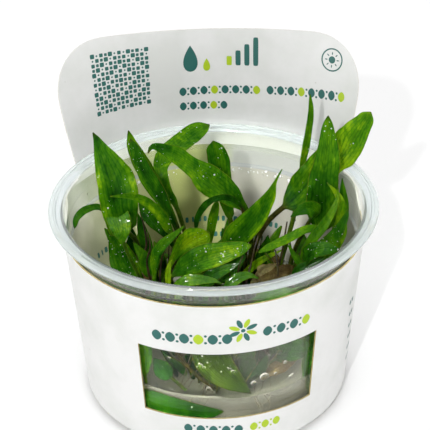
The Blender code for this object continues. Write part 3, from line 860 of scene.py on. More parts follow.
# %% Print on the tab
def woven_square(x, y, size, cells):
    """A square panel of small tiles, whose sizes change by turns from its middle outwards."""
    shapes = []
    pitch = size / cells
    for row in range(cells):
        for column in range(cells):
            u, v = column - (cells - 1) / 2, row - (cells - 1) / 2
            far = abs(u) + abs(v)
            side = (0.95, 0.62, 0.8, 0.36)[int(far) % 4] * pitch
            turn = math.pi / 4 if int(far) % 4 == 3 else 0.0
            shapes.append((DEEP, oval(x + pitch * (column + 0.5), y + pitch * (row + 0.5),
                                      side, side, turn, 0.35, 12)))
    return shapes


# places are in millimetres from the middle of the back, and above the cup's foot
DROP = (-5.5, 87.2)
SMALL_DROP = (-0.2, 84.9)
GAUGE = (7.2, 84.6)
GAUGE_STEP, GAUGE_WIDTH = 2.9, 1.7
SUN = (41.2, 89.3)
RAYS, RAY_REACH = 8, 1.95

tab_shapes = woven_square(-38.6, 73.0, 19.5, 13)
# a drop with a small one beside it
tab_shapes.append((DEEP, drop(*DROP, 3.1, 4.6, 28)))
tab_shapes.append((LIME, drop(*SMALL_DROP, 1.5, 2.2, 20)))
# a gauge of rising bars
for step, (height, ink) in enumerate(((3.2, LIME), (5.2, DEEP), (7.4, DEEP), (9.8, DEEP))):
    tab_shapes.append((ink, oval(GAUGE[0] + step * GAUGE_STEP, GAUGE[1] + height / 2,
                                 GAUGE_WIDTH, height, 0.0, 0.3)))
# a sun in a ring
tab_shapes += [(DEEP, quad) for quad in ring(*SUN, 3.15, 0.42)]
tab_shapes.append((DEEP, oval(*SUN, 2.2, 2.2)))
for step in range(RAYS):
    turn = math.tau * step / RAYS
    tab_shapes.append((DEEP, oval(SUN[0] + RAY_REACH * math.cos(turn),
                                  SUN[1] + RAY_REACH * math.sin(turn), 0.9, 0.34, turn)))
for band in ((-10.0, 75.6, 28.0, 3.0, 0.7), (19.0, 76.5, 28.5, 3.0, 2.5),
             (-10.0, 70.4, 17.0, 2.9, 0.0)):
    tab_shapes += garland(*band)
printed("print_tab", tab_shapes, INSIDE_LIFT, lambda x, y: (x, y))
print("tab print:", len(tab_shapes), "shapes")

# %% Print on the front and inside
FRONT_R = 45.0
FLOWER = (3.5, 47.8)
PETALS, PETAL_REACH = 8, 2.7
DASH_STEP = 2.4
INSIDE_SHIFT = 12.0


def on_front(x, y):
    """Flat millimetres on the front of the sleeve, measured from its middle."""
    return front_along(math.degrees(x / FRONT_R)), y


front_shapes = garland(-23.5, 44.9, 24.5, 3.7, 0.3)
front_shapes += garland(8.6, 46.2, 16.8, 3.5, -0.3)
for step in range(PETALS):
    turn = math.tau * (step + 0.5) / PETALS
    front_shapes.append((LIME if step % 2 else DEEP, oval(
        FLOWER[0] + PETAL_REACH * math.cos(turn), FLOWER[1] + PETAL_REACH * math.sin(turn),
        3.3, 1.5, turn, 1.1)))
front_shapes.append((DEEP, oval(*FLOWER, 1.3, 1.3)))
front_shapes += garland(-15.5, 10.0, 20.0, 3.4, -0.6, 9)
front_shapes += [(LIME, shape) for _, shape in garland(5.5, 9.6, 11.5, 3.2, 0.4)]
printed("print_front", front_shapes, OUTSIDE_LIFT, on_front)

# short bands one under the other at the right side
side_shapes = []
for line in range(6):
    side_shapes += garland(46.5 + line * 1.1, 38.0 - line * 5.0, 4.5, 1.7)
printed("print_side", side_shapes, OUTSIDE_LIFT, on_front)

# rows of dashes of three widths on the inner face
inner_shapes = []
for line, (start, height, length) in enumerate((
        (-31.0, 30.2, 48.0), (-28.0, 24.6, 44.0), (-66.0, 30.2, 22.0))):
    for step in range(int(length / DASH_STEP)):
        wide = (1.7, 0.8, 1.3)[(step * 2 + line) % 3]
        inner_shapes.append((DEEP, oval(start + step * DASH_STEP + line, height, wide, 1.9,
                                        0.0, 0.6, 12)))
printed("print_inside", inner_shapes, INSIDE_LIFT, lambda x, y: (x + INSIDE_SHIFT, y))
print("front, side and inner print:", len(front_shapes), len(side_shapes), len(inner_shapes))

# %% [markdown]
# ## Leaves
# Every leaf follows its own midrib, a smooth curve through a few given points from its
# crown to its tip. A closed section is carried along it: round on the stalk, then wide and
# thin on the blade, folded at the midrib, with raised and waved margins. The place along and
# across the blade is stored on the mesh, so veins and margins can follow it.

# %% Leaf finish
MARGIN_RED = (0.16, 0.10, 0.012)
BROWN_DARK, BROWN_PALE = (0.020, 0.011, 0.004), (0.085, 0.060, 0.014)


def leaf_finish(name, dark, middle, bright, pale, roughness):
    """A wet green leaf with fine veins along and across it and a thin reddish margin."""
    made, tree, shader = finish(name, Roughness=roughness, Specular_IOR_Level=0.04,
                                Subsurface_Weight=0.12, Subsurface_Scale=0.0010,
                                Coat_Roughness=0.10, Coat_IOR=1.33)
    shader.inputs["Subsurface Radius"].default_value = (0.5, 1.0, 0.15)
    along, across = attribute(tree, "along"), attribute(tree, "across")
    side = sums(tree, "ABSOLUTE", across)
    cloud = noise(tree, 150.0, 4.0, 0.6)
    fine = noise(tree, 900.0, 3.0, 0.6)
    # lengthwise veins: thin dark lines at even steps from the midrib, bent by the noise
    lines = sums(tree, "PINGPONG", sums(tree, "ADD", share(tree, side, 4.2),
                                        share(tree, cloud, 0.35)), 0.5)
    lengthwise = sums(tree, "SMOOTH_MIN", share(tree, lines, 5.0), 1.0, 0.2)
    # cross veins run outwards and forwards
    steps = sums(tree, "SUBTRACT", share(tree, along, 13.0), share(tree, side, 2.2))
    steps = sums(tree, "PINGPONG", sums(tree, "ADD", steps, fine), 0.5)
    crosswise = sums(tree, "SMOOTH_MIN", share(tree, steps, 3.5), 1.0, 0.3)
    veins = sums(tree, "MULTIPLY", lengthwise,
                 sums(tree, "ADD", share(tree, crosswise, 0.4), 0.6))
    # the stored tone, which holds the leaf's own colour and some painted light and shade, is
    # changed by clouds, long blotches, the veins and a fine grain
    blotch = noise(tree, 420.0, 3.0, 0.6, (1.0, 1.0, 0.32), 1.0)
    tone = attribute(tree, "tone")
    for pattern, change in ((cloud, 0.85), (blotch, 0.9), (veins, 0.16), (fine, 0.2)):
        tone = sums(tree, "ADD", tone, share(tree, pattern, change, 0.5))
    green = ramp(tree, tone, (0.08, dark), (0.42, middle), (0.72, bright), (1.0, pale))
    # the midrib's groove is darker: painted shade in the crease
    rib = sums(tree, "LESS_THAN", side, 0.045)
    green = mixed(tree, share(tree, rib, 0.25), green, dark)
    margin = sums(tree, "GREATER_THAN", side, 0.955)
    green = mixed(tree, share(tree, margin, 0.35), green, MARGIN_RED)
    colour = mixed(tree, attribute(tree, "brown"), green,
                   ramp(tree, fine, (0.3, BROWN_DARK), (0.7, BROWN_PALE)))
    tree.links.new(colour, shader.inputs["Base Color"])
    # a film of water lies in patches on the wetter leaves and takes the sharp glints
    damp = sums(tree, "ADD", attribute(tree, "wet"), noise(tree, 420.0, 4.0, 0.7, None, 1.5))
    tree.links.new(stretched(tree, damp, 1.05, 1.45, 0.0, 0.8), shader.inputs["Coat Weight"])
    ripples = node(tree, "ShaderNodeBump", {"Height": noise(tree, 800.0, 2.0),
                                            "Distance": 0.12 * MM})
    tree.links.new(ripples.outputs[0], shader.inputs["Coat Normal"])
    relief = sums(tree, "ADD", share(tree, veins, 0.8), sums(tree, "ADD", cloud, blotch))
    bump(tree, shader, relief, 0.16 * MM, 0.6)
    return made


leaf_look = leaf_finish("leaf_green", (0.003, 0.038, 0.001), (0.020, 0.115, 0.0015),
                        (0.072, 0.220, 0.002), (0.240, 0.420, 0.004), 0.42)
dead_look = leaf_finish("dead_leaf", (0.020, 0.012, 0.004), (0.085, 0.060, 0.018),
                        (0.180, 0.140, 0.045), (0.300, 0.260, 0.110), 0.5)
# leaves seen through the wet wall are a dull olive: the wall's haze over them is painted into
# their colour
olive_painted_haze_look = leaf_finish("leaf_olive", (0.012, 0.032, 0.003), (0.038, 0.080, 0.005),
                         (0.080, 0.140, 0.010), (0.170, 0.240, 0.020), 0.42)
print("leaf finishes are ready")

# %% Path of a leaf
FOOT_RING = 3.0
FOOT_Z = 25.0
CROWNS = {"left": (-18.0, 4.0), "middle": (-4.0, 8.0), "centre": (11.0, 9.0),
          "right": (26.0, 3.0), "front": (2.0, -18.0)}
FRONT = (0.0, -1.0, 0.1)
FRONT_UP = (0.0, -0.8, 0.6)
UP = (0.0, -0.5, 0.85)
LEFT_UP = (-0.35, -0.75, 0.55)


def foot(crown, heading):
    """Where a stalk stands on a crown; 0 is right, 90 back, 180 left and 270 front."""
    x, y = CROWNS[crown]
    turn = math.radians(heading)
    return (x + FOOT_RING * math.cos(turn), y + FOOT_RING * math.sin(turn), FOOT_Z)


def smooth_path(knots, count=16):
    """A dense Catmull-Rom curve through the points."""
    knots = [Vector(knot) for knot in knots]
    knots = [2 * knots[0] - knots[1]] + knots + [2 * knots[-1] - knots[-2]]
    path = []
    for index in range(1, len(knots) - 2):
        before, start, end, after = knots[index - 1:index + 3]
        for step in range(count):
            t = step / count
            path.append(0.5 * (2 * start + (end - before) * t
                               + (2 * before - 5 * start + 4 * end - after) * t ** 2
                               + (3 * start - before - 3 * end + after) * t ** 3))
    return path + [knots[-2]]


def points_along(path, parts):
    """Places and directions at fractions of a dense path's length."""
    dense = np.array([tuple(point) for point in path])
    length = np.concatenate(([0.0], np.cumsum(np.linalg.norm(np.diff(dense, axis=0), axis=1))))

    def at(shift):
        return np.stack([np.interp(np.array(parts) * length[-1] + shift, length, dense[:, axis])
                         for axis in range(3)], axis=1)

    return ([Vector(place) for place in at(0.0)],
            [Vector(step).normalized() for step in at(0.3) - at(-0.3)])


def carried_normals(directions, start, face):
    """Carry the upper face's direction along the leaf with the least twist."""
    normals = [None] * len(directions)
    normal = Vector(face)
    normals[start] = (normal - normal.dot(directions[start]) * directions[start]).normalized()
    for order in (range(start + 1, len(directions)), range(start - 1, -1, -1)):
        last = normals[start]
        for index in order:
            last = (last - last.dot(directions[index]) * directions[index]).normalized()
            normals[index] = last
    return normals

print("crowns that leaves stand on:", ", ".join(CROWNS))

# %% Outline of a blade
# places along the blade, from its base to its tip, where its half widths are given
PARTS = (0.04, 0.12, 0.25, 0.38, 0.50, 0.62, 0.75, 0.86, 0.94)
TIP_HALF = 0.15


def plain_blade(width, swell=0.8, tip=0.85):
    """Equal half widths on both sides; a larger swell is widest nearer the tip."""
    side = [width / 2 * math.sin(math.pi * part ** swell) ** tip for part in PARTS]
    return side, side


def half_widths(side, stalk, parts):
    """Half widths of one side at any parts of the blade, smooth through the given ones."""
    curve = smooth_path([(0.0, stalk, 0.0)] + [(part, half, 0.0) for part, half in zip(
        PARTS, side)] + [(1.0, TIP_HALF, 0.0)], 8)
    return np.interp(parts, [point.x for point in curve], [point.y for point in curve])

print("a blade's sides are given at", len(PARTS), "places")

# %% Leaf
CORNERS = 28
STALK_RINGS = 12
BLADE_RINGS = 54
# the ring where the upper face looks the way that is asked for
FACE_RING = STALK_RINGS + 22
HALF_THICK = 0.22


def leaf(name, knots, sides, start, face, tone=0.5, cup=0.16, stalk=0.75, twist=0.0, wave=0.09,
         waves=2.4, phase=0.0, fold=0.12, wet=0.12, brown=0.55, tip_brown=0.5, patches=(),
         slot="leaf", look=None, solid=True):
    """Build one leaf and, where it has a solid, let it stand for it.

    knots run from the foot to the tip, sides are the half widths on the left and on the right,
    and start is the fraction of the length where the blade begins. cup raises the margins and
    fold lowers the midrib, wave and waves ripple the margins, all as parts of the half width.
    Each patch is (along, across, length, breadth, change of tone).
    """
    # tone and the patches' changes hold the leaf's own mottling and also painted light and shade:
    # bright strips where folds and margins catch the light, dark where they are shaded
    parts = np.concatenate((start * np.arange(STALK_RINGS) / STALK_RINGS,
                            start + (1 - start) * np.linspace(0, 0.998, BLADE_RINGS)))
    blade = np.clip((parts - start) / (1 - start), 0.0, 1.0)
    places, directions = points_along(smooth_path(knots), parts)
    normals = carried_normals(directions, FACE_RING, face)
    width = [half_widths(side, stalk * 0.8, blade) for side in sides]
    points, stored = [], {"along": [], "across": [], "tone": [], "brown": [], "wet": []}
    for index, (centre, ahead, up) in enumerate(zip(places, directions, normals)):
        part, on_blade = blade[index], smooth_step(0.0, 0.08, blade[index])
        up = Matrix.Rotation(math.radians(twist) * (part - 0.4), 3, ahead) @ up
        across = ahead.cross(up)
        thick = HALF_THICK * (1.0 - 0.5 * part)
        rib = 0.6 * stalk * (1.0 - part) ** 1.2
        # ripples of three lengths, so that no two stretches of a margin are alike
        ripple = [math.sin(math.tau * waves * part + phase + shift)
                  + 0.5 * math.sin(math.tau * 2.3 * waves * part + 2.1 * phase + 2 * shift)
                  + 0.25 * math.sin(math.tau * 4.9 * waves * part + 3.3 * phase + shift)
                  for shift in (0.0, 2.2)]
        for corner in range(CORNERS):
            angle = math.tau * corner / CORNERS
            side, lift = math.cos(angle), math.sin(angle)
            flat, right = abs(side), side > 0.0
            half = width[right][index] * (1.0 + 0.25 * wave * ripple[1 - right] * on_blade)
            half = stalk + (half - stalk) * smooth_step(-0.02, 0.05, part - 0.01)
            wide = (width[0][index] + width[1][index]) / 2
            sheet = (cup * half * flat ** 1.6 + wave * half * flat ** 2 * ripple[right]
                     - fold * wide * math.exp(-(side / 0.25) ** 2)
                     + 0.05 * wide * math.sin(7.0 * part + phase) * math.sin(3.0 * side + phase))
            body = thick * math.copysign(abs(lift) ** 0.6, lift) * (1.0 - 0.4 * flat ** 3)
            if lift < 0.0:
                body -= rib * math.exp(-(side / 0.14) ** 2)
            round_height = stalk * (1.0 - 0.2 * parts[index]) * lift
            height = round_height + (sheet + body - round_height) * on_blade
            points.append(centre + across * (half * side) + up * height)
            change = sum(amount * math.exp(-((part - p) / a) ** 2 - ((side - q) / b) ** 2)
                         for p, q, a, b, amount in patches)
            stored["along"].append(part)
            stored["across"].append(side)
            stored["tone"].append(tone + change - (0.12 if lift < 0 else 0.0))
            stored["brown"].append(max(brown * (1.0 - smooth_step(-0.02, 0.12, part)),
                                       tip_brown * smooth_step(0.95, 1.0, part)))
            stored["wet"].append(wet if lift > 0.25 and part > 0.05 else 0.0)
    faces = [tuple(row * CORNERS + spot for spot in
                   (corner, (corner + 1) % CORNERS,
                    (corner + 1) % CORNERS + CORNERS, corner + CORNERS))
             for row in range(len(parts) - 1) for corner in range(CORNERS)]
    last = len(points)
    faces += [tuple(range(CORNERS))[::-1], tuple(range(last - CORNERS, last))]
    obj = piece("plant_" + name, points, faces, look or leaf_look)
    for key, values in stored.items():
        obj.data.attributes.new(key, "FLOAT", "POINT").data.foreach_set("value", values)
    outward(obj)
    obj.data.shade_smooth()
    return dress(obj, slot, *([name] if solid else []))

print("a leaf has", CORNERS * (STALK_RINGS + BLADE_RINGS), "points")

# %% Leaves of the left crown
# its bright margin strips and darker middle are partly painted light and shade of its folded blade
leaf("leaf_left_broad",
     [foot("left", 110), (-23, 10, 38), (-23.8, 8, 46), (-26.6, 3.8, 53), (-28.4, 4, 60),
      (-29.5, 5, 68), (-31.8, 6.7, 76.5), (-35, 9, 85)],
     ((4.6, 5.4, 5.4, 5.4, 5.2, 4.5, 3.2, 1.9, 0.8),
      (2.9, 4.3, 5.9, 6.5, 6.6, 6.0, 4.0, 2.1, 1.1)),
     0.46, FRONT_UP, tone=0.50, cup=0.10, wet=0.6, phase=0.4, tip_brown=0.8,
     patches=((0.45, -0.15, 0.20, 0.40, -0.32), (0.20, 0.25, 0.14, 0.6, -0.22),
              (0.6, -0.85, 0.5, 0.35, 0.22), (0.55, 0.85, 0.3, 0.22, 0.28),
              (0.97, 0.0, 0.06, 1.0, -0.3)))
leaf("leaf_left_thin_arch",
     [foot("left", 155), (-27, 9, 38), (-30.9, 12, 51.2), (-34.4, 12, 56.8), (-38.4, 10, 57.8),
      (-41.3, 7.5, 56.7), (-42.6, 6, 53.5)],
     ((0.7, 0.9, 1.2, 1.4, 1.4, 1.3, 1.1, 0.8, 0.6),
      (0.7, 0.9, 1.0, 1.0, 1.0, 1.2, 1.2, 1.1, 0.8)),
     0.6, UP, tone=0.42, stalk=0.6, brown=0.3, phase=1.0)
leaf("leaf_left_low",
     [foot("left", 205), (-24.1, 4, 32.2), (-28.8, 6.5, 41.9), (-31, 7.5, 47.4), (-33.4, 7.5, 52)],
     ((1.6, 2.6, 4.2, 5.0, 4.5, 3.2, 2.1, 1.2, 0.7),
      (1.5, 2.4, 3.4, 3.8, 3.9, 3.6, 2.5, 1.3, 0.7)),
     0.22, FRONT_UP, tone=0.42, wet=0.6, phase=2.0,
     patches=((0.4, 0.8, 0.5, 0.25, 0.3), (0.5, 0.2, 0.3, 0.3, -0.2)))
leaf("leaf_left_lance",
     [foot("left", 265), (-19.3, -3, 34), (-19.1, -4, 40.2), (-17.7, -5, 49.6), (-9.3, -4, 58.2)],
     ((0.7, 1.0, 1.4, 1.8, 2.2, 2.1, 1.5, 0.8, 0.4),
      (0.7, 0.9, 1.3, 1.4, 1.3, 1.1, 0.9, 0.7, 0.4)),
     0.42, FRONT_UP, tone=0.58, phase=3.0, brown=0.2, patches=((0.3, 0.8, 0.5, 0.3, -0.3),))
# its bright far end is partly painted sheen over a darker base
leaf("leaf_front_glossy",
     [foot("left", 325), (-15.5, -2, 33), (-14.1, -5.5, 40.8), (-6.8, -8.5, 47.3),
      (1.4, -10, 50.9), (10.6, -9, 52.7)],
     ((0.9, 2.0, 3.8, 4.4, 4.5, 4.0, 3.2, 2.4, 1.4),
      (0.9, 1.8, 3.0, 3.5, 3.4, 3.2, 2.7, 2.2, 1.3)),
     0.39, FRONT_UP, tone=0.50, wet=0.55, phase=4.0, wave=0.07, cup=0.05,
     patches=((0.15, 0.0, 0.25, 1.2, -0.22), (0.75, 0.0, 0.25, 0.9, 0.28),
              (0.45, 0.9, 0.4, 0.3, 0.25)))
leaf("leaf_left_bright",
     [foot("left", 15), (-15.6, 2, 33.2), (-14, 0, 40.4), (-8.9, -1.5, 49.1), (-1.7, -2, 54)],
     ((1.5, 1.8, 2.4, 3.0, 3.8, 5.1, 4.8, 3.4, 2.4),
      (0.8, 0.9, 1.2, 1.7, 2.2, 2.5, 3.0, 3.6, 2.4)),
     0.5, FRONT, tone=0.70, phase=5.0, wet=0.5, brown=0.2,
     patches=((0.2, 0.7, 0.3, 0.4, -0.4), (0.7, -0.3, 0.2, 0.5, 0.15)))
leaf("leaf_left_thin_dark",
     [foot("left", 60), (-18, 6, 34), (-19.8, 5.5, 42), (-21.5, 5, 50), (-23, 5.5, 58)],
     plain_blade(3.8), 0.45, FRONT_UP, tone=0.3, phase=0.7)
print("left crown: 7 leaves")

# %% Leaves of the middle crown
leaf("leaf_back_arched",
     [foot("middle", 80), (-7, 13, 40), (-10.2, 13.5, 53.5), (-13.2, 13.8, 59.4),
      (-14.6, 14.5, 64.5), (-14.6, 17, 67), (-12.4, 21, 69.3), (-7.5, 27, 69.4), (-1.9, 32, 70.5),
      (2.6, 35, 71.3)],
     ((0.8, 1.0, 1.6, 2.4, 3.2, 3.4, 3.6, 3.6, 2.9),
      (0.7, 1.6, 2.0, 2.2, 3.2, 3.6, 3.4, 2.9, 2.0)),
     0.4, UP, tone=0.66, phase=1.6, wave=0.06, wet=0.4,
     patches=((0.85, 0.2, 0.18, 0.6, -0.22), (0.12, 0.0, 0.2, 1.2, -0.25)))
leaf("leaf_left_tall_back",
     [foot("middle", 125), (-9, 9.5, 40), (-11.5, 10, 52), (-18, 10.5, 66), (-24.3, 12, 83.3)],
     ((0.8, 1.0, 1.9, 2.4, 2.7, 3.0, 3.2, 2.7, 1.5),
      (0.8, 1.0, 1.8, 2.3, 2.4, 2.3, 1.7, 1.0, 0.6)),
     0.42, FRONT_UP, tone=0.58, phase=2.4, tip_brown=0.8,
     patches=((0.4, 0.3, 0.3, 0.6, -0.2),))
leaf("leaf_left_tall_dark",
     [foot("middle", 170), (-9.5, 6, 40), (-11, 6, 50), (-16, 6.5, 63), (-20.5, 7, 72),
      (-24, 8, 82.5)],
     ((0.7, 0.8, 1.4, 2.2, 2.6, 2.5, 2.0, 1.7, 1.2),
      (0.7, 0.8, 1.4, 2.2, 2.5, 2.5, 2.2, 1.7, 1.2)),
     0.42, FRONT_UP, tone=0.24, phase=3.2, wet=0.5,
     patches=((0.45, -0.8, 0.3, 0.3, 0.4), (0.6, 0.6, 0.3, 0.3, 0.12)))
leaf("leaf_left_mid_dark",
     [foot("middle", 215), (-10.5, 4, 40), (-12.9, 3, 47.7), (-18.2, 2, 56.4), (-22.5, 2, 63.9)],
     ((0.8, 0.9, 1.0, 1.2, 1.6, 2.1, 2.4, 1.7, 0.9),
      (0.8, 1.2, 2.0, 2.7, 3.3, 3.4, 3.0, 2.4, 1.1)),
     0.5, FRONT_UP, tone=0.27, phase=4.0, wet=0.8)
leaf("leaf_left_arch",
     [foot("middle", 255), (-8.5, 2.5, 42), (-12, 1.3, 49.8), (-15.6, -2, 60.5),
      (-20.3, -4.2, 67.4), (-25.9, -5.5, 70.5), (-31.2, -6.5, 71.6)],
     ((1.3, 1.7, 1.9, 1.8, 1.7, 1.5, 1.0, 0.7, 0.4),
      (0.8, 1.0, 1.3, 1.5, 1.6, 1.7, 1.9, 1.3, 0.6)),
     0.5, LEFT_UP, tone=0.56, phase=5.0, wave=0.05,
     patches=((0.45, -0.5, 0.3, 0.4, 0.25), (0.4, 0.7, 0.4, 0.4, -0.15)))
leaf("leaf_centre_front",
     [foot("middle", 300), (1.5, 2, 35.5), (3.5, 0.3, 43), (6.7, -1, 49.2), (11.4, -2.5, 56.6),
      (14.2, -3, 62), (17, -3.5, 68.5), (20.3, -4.5, 76)],
     ((1.8, 3.6, 4.9, 4.5, 3.7, 2.4, 0.9, 0.4, 0.3),
      (1.4, 2.4, 3.1, 3.3, 3.3, 3.0, 2.5, 0.7, 0.3)),
     0.33, FRONT_UP, tone=0.54, phase=0.2, wave=0.05, cup=0.10,
     patches=((0.35, 0.05, 0.25, 0.45, -0.22), (0.5, 0.9, 0.4, 0.25, 0.35),
              (0.45, -0.9, 0.3, 0.3, 0.12)))
leaf("leaf_low_narrow",
     [foot("middle", 345), (3.3, 4, 29.1), (9.1, 1.5, 34.9), (14.3, 0, 40.7), (21.7, -1, 45.2)],
     plain_blade(2.4), 0.35, FRONT_UP, tone=0.78, wet=0.7, phase=1.1, brown=0.1)
leaf("leaf_centre_small",
     [foot("middle", 30), (-1, 8.5, 36), (-1.3, 8, 43), (0.5, 8, 52), (2.1, 8.5, 58.7)],
     ((0.7, 0.8, 1.0, 1.2, 1.4, 1.6, 1.6, 1.4, 1.0),
      (0.7, 0.9, 1.2, 1.4, 1.5, 1.4, 1.3, 1.1, 0.8)),
     0.42, FRONT_UP, tone=0.62, phase=2.2)
print("middle crown: 8 leaves")

# %% Leaves of the centre crown
leaf("leaf_centre_curled",
     [foot("centre", 80), (13, 11.5, 40), (11.5, 7.5, 54), (5, 5, 63), (-5, 3.5, 73.5),
      (-13, 2.5, 80.5), (-17.5, 1.5, 83), (-19.2, 1, 81)],
     ((1.1, 1.9, 3.4, 4.8, 4.8, 3.3, 2.4, 1.7, 0.9),
      (0.8, 1.4, 3.6, 4.3, 3.9, 2.6, 2.9, 1.6, 0.9)),
     0.39, FRONT_UP, tone=0.54, wave=0.12, waves=3.0, phase=3.1, tip_brown=1.0, wet=0.5,
     patches=((0.9, 0.0, 0.12, 1.0, -0.25), (0.5, -0.6, 0.25, 0.4, 0.12),
              (0.2, -0.3, 0.15, 0.6, -0.15), (0.65, 0.5, 0.15, 0.4, -0.15)))
leaf("leaf_centre_round",
     [foot("centre", 150), (7.6, 13, 40.8), (5.6, 14, 53.4), (3.4, 14, 65.6), (1.6, 14.5, 76.6)],
     ((1.1, 1.6, 2.3, 3.1, 3.4, 3.4, 3.1, 2.8, 2.3),
      (1.5, 1.8, 2.2, 2.7, 3.1, 3.5, 3.9, 3.3, 2.3)),
     0.45, FRONT_UP, tone=0.46, phase=4.4, wet=0.5,
     patches=((0.8, 0.5, 0.2, 0.4, 0.18), (0.8, -0.4, 0.2, 0.3, -0.12)))
leaf("leaf_centre_thin_arch",
     [foot("centre", 250), (10.5, 5, 45), (9.5, 3.5, 57), (6, -0.5, 64), (2, -3.5, 67),
      (-2, -3.5, 65.5), (-5, -1, 59), (-5.5, 1.5, 52)],
     plain_blade(2.2, 1.0, 0.5), 0.5, FRONT, tone=0.22, stalk=0.55, phase=5.2, brown=0.8)
leaf("leaf_right_round",
     [foot("centre", 345), (12.5, 7, 35), (14.2, 7, 44), (18, 7.5, 50.7), (23, 8, 55.2),
      (26.9, 8.2, 58.6), (30.8, 8, 64.5), (33.9, 7.9, 71.2), (35.4, 8.2, 76.6)],
     ((1.2, 3.1, 4.5, 4.9, 4.7, 4.1, 3.3, 2.4, 1.3),
      (1.7, 4.0, 5.4, 5.3, 4.5, 3.4, 2.2, 1.4, 0.8)),
     0.56, LEFT_UP, tone=0.58, stalk=0.85, brown=0.9, phase=0.9, cup=0.08,
     patches=((0.3, 0.0, 0.3, 0.12, -0.3), (0.2, 0.6, 0.2, 0.5, -0.15)))
print("centre crown: 4 leaves")

# %% Leaves of the right crown
leaf("leaf_back_blade",
     [foot("right", 125), (21.8, 8, 31.5), (24.5, 10.5, 41), (27.4, 14, 49.9), (29.9, 18, 62.5),
      (32.1, 19, 76.8), (32.2, 19, 88.3)],
     ((0.8, 1.0, 1.1, 1.2, 1.1, 0.9, 0.6, 0.4, 0.3),
      (0.6, 0.9, 1.2, 1.2, 1.1, 1.2, 1.2, 1.0, 0.6)),
     0.6, FRONT_UP, tone=0.58, phase=1.8, fold=0.3)
leaf("leaf_right_tall",
     [foot("right", 85), (30.5, 4.3, 40), (33.8, 4, 49), (34.2, 4, 56.2), (34.1, 4, 62.7),
      (34.8, 5, 70.6), (35.6, 6, 77.6), (35.8, 7, 86.8)],
     ((1.6, 3.6, 5.0, 5.0, 4.5, 3.5, 3.0, 2.3, 1.5),
      (2.0, 4.6, 5.5, 5.0, 4.8, 4.7, 3.5, 2.3, 1.4)),
     0.36, FRONT_UP, tone=0.49, wet=0.45, phase=2.7, tip_brown=0.7, cup=0.08,
     patches=((0.3, -0.3, 0.22, 0.6, -0.24), (0.85, 0.0, 0.2, 1.0, 0.15),
              (0.45, 0.6, 0.2, 0.25, 0.14)))
leaf("leaf_right_wide",
     [foot("right", 45), (33, 8.5, 42), (36.5, 10.5, 56), (39, 10.5, 66), (42.8, 11, 72.3),
      (46.3, 11.5, 78.8), (48.5, 11.8, 82.3), (50, 12, 84.5)],
     ((1.0, 1.6, 2.5, 3.3, 4.4, 5.6, 4.5, 3.0, 2.2),
      (0.9, 1.3, 2.2, 4.0, 4.3, 4.1, 3.5, 3.0, 2.2)),
     0.56, FRONT_UP, tone=0.76, phase=3.6, wave=0.06, cup=0.06,
     patches=((0.5, 0.3, 0.25, 0.35, -0.12), (0.35, 0.7, 0.25, 0.4, 0.18),
              (0.93, 0.3, 0.08, 0.5, -0.2)))
leaf("leaf_right_edge",
     [foot("right", 0), (34, 0.5, 38), (38, 0, 49), (40, 0, 58), (39.5, 0.5, 68.5)],
     plain_blade(4.0), 0.45, FRONT_UP, tone=0.42, phase=4.5)
leaf("leaf_right_curl",
     [foot("right", 320), (33, -2.5, 38), (36.5, -3.5, 49), (39, -3.5, 57), (37.8, -3.8, 64.5),
      (34, -4, 70)],
     plain_blade(3.4), 0.45, FRONT_UP, tone=0.66, stalk=0.6, phase=5.4, wet=0.9,
     patches=((0.85, 0.0, 0.2, 1.5, 0.2),))
leaf("leaf_right_low",
     [foot("right", 285), (29.5, -4, 37.2), (33.3, -6, 47.1), (37.1, -6.8, 53.5),
      (40.3, -6, 61.2)],
     ((1.0, 1.8, 2.6, 2.8, 2.6, 2.1, 1.4, 0.8, 0.4),
      (1.0, 1.2, 1.4, 1.6, 1.8, 1.8, 1.6, 1.3, 0.9)),
     0.42, FRONT_UP, tone=0.42, wet=0.6, phase=0.5)
leaf("leaf_right_lowest",
     [foot("right", 247), (26.5, -5, 38), (28.6, -8.5, 46.9), (32.6, -10, 49.9),
      (37.5, -10, 49.7)],
     ((0.9, 1.6, 2.8, 3.3, 3.3, 3.0, 2.4, 1.5, 0.8),
      (0.9, 1.2, 1.5, 1.7, 1.8, 2.0, 2.0, 1.5, 0.8)),
     0.5, UP, tone=0.3, wet=0.6, phase=1.3)
leaf("leaf_right_bright",
     [foot("right", 207), (25.5, 0.5, 38), (29.5, -1, 46.8), (32.2, -3, 52.2),
      (27.9, -4.2, 53.7), (21.9, -5.5, 51.7), (12.6, -8, 49)],
     ((0.8, 1.0, 1.2, 1.3, 1.4, 1.5, 1.4, 1.1, 0.6),
      (1.0, 1.4, 1.5, 1.5, 1.5, 1.5, 1.4, 1.3, 0.8)),
     0.5, UP, tone=0.68, phase=2.9, wave=0.05)
leaf("leaf_right_small",
     [foot("right", 165), (25, 3, 40), (29.5, 1.8, 52), (31.5, 0.3, 57), (28.5, -0.7, 59.5),
      (23.5, -1.2, 57)],
     plain_blade(5.0), 0.66, FRONT_UP, tone=0.42, phase=3.8)
print("right crown: 9 leaves")

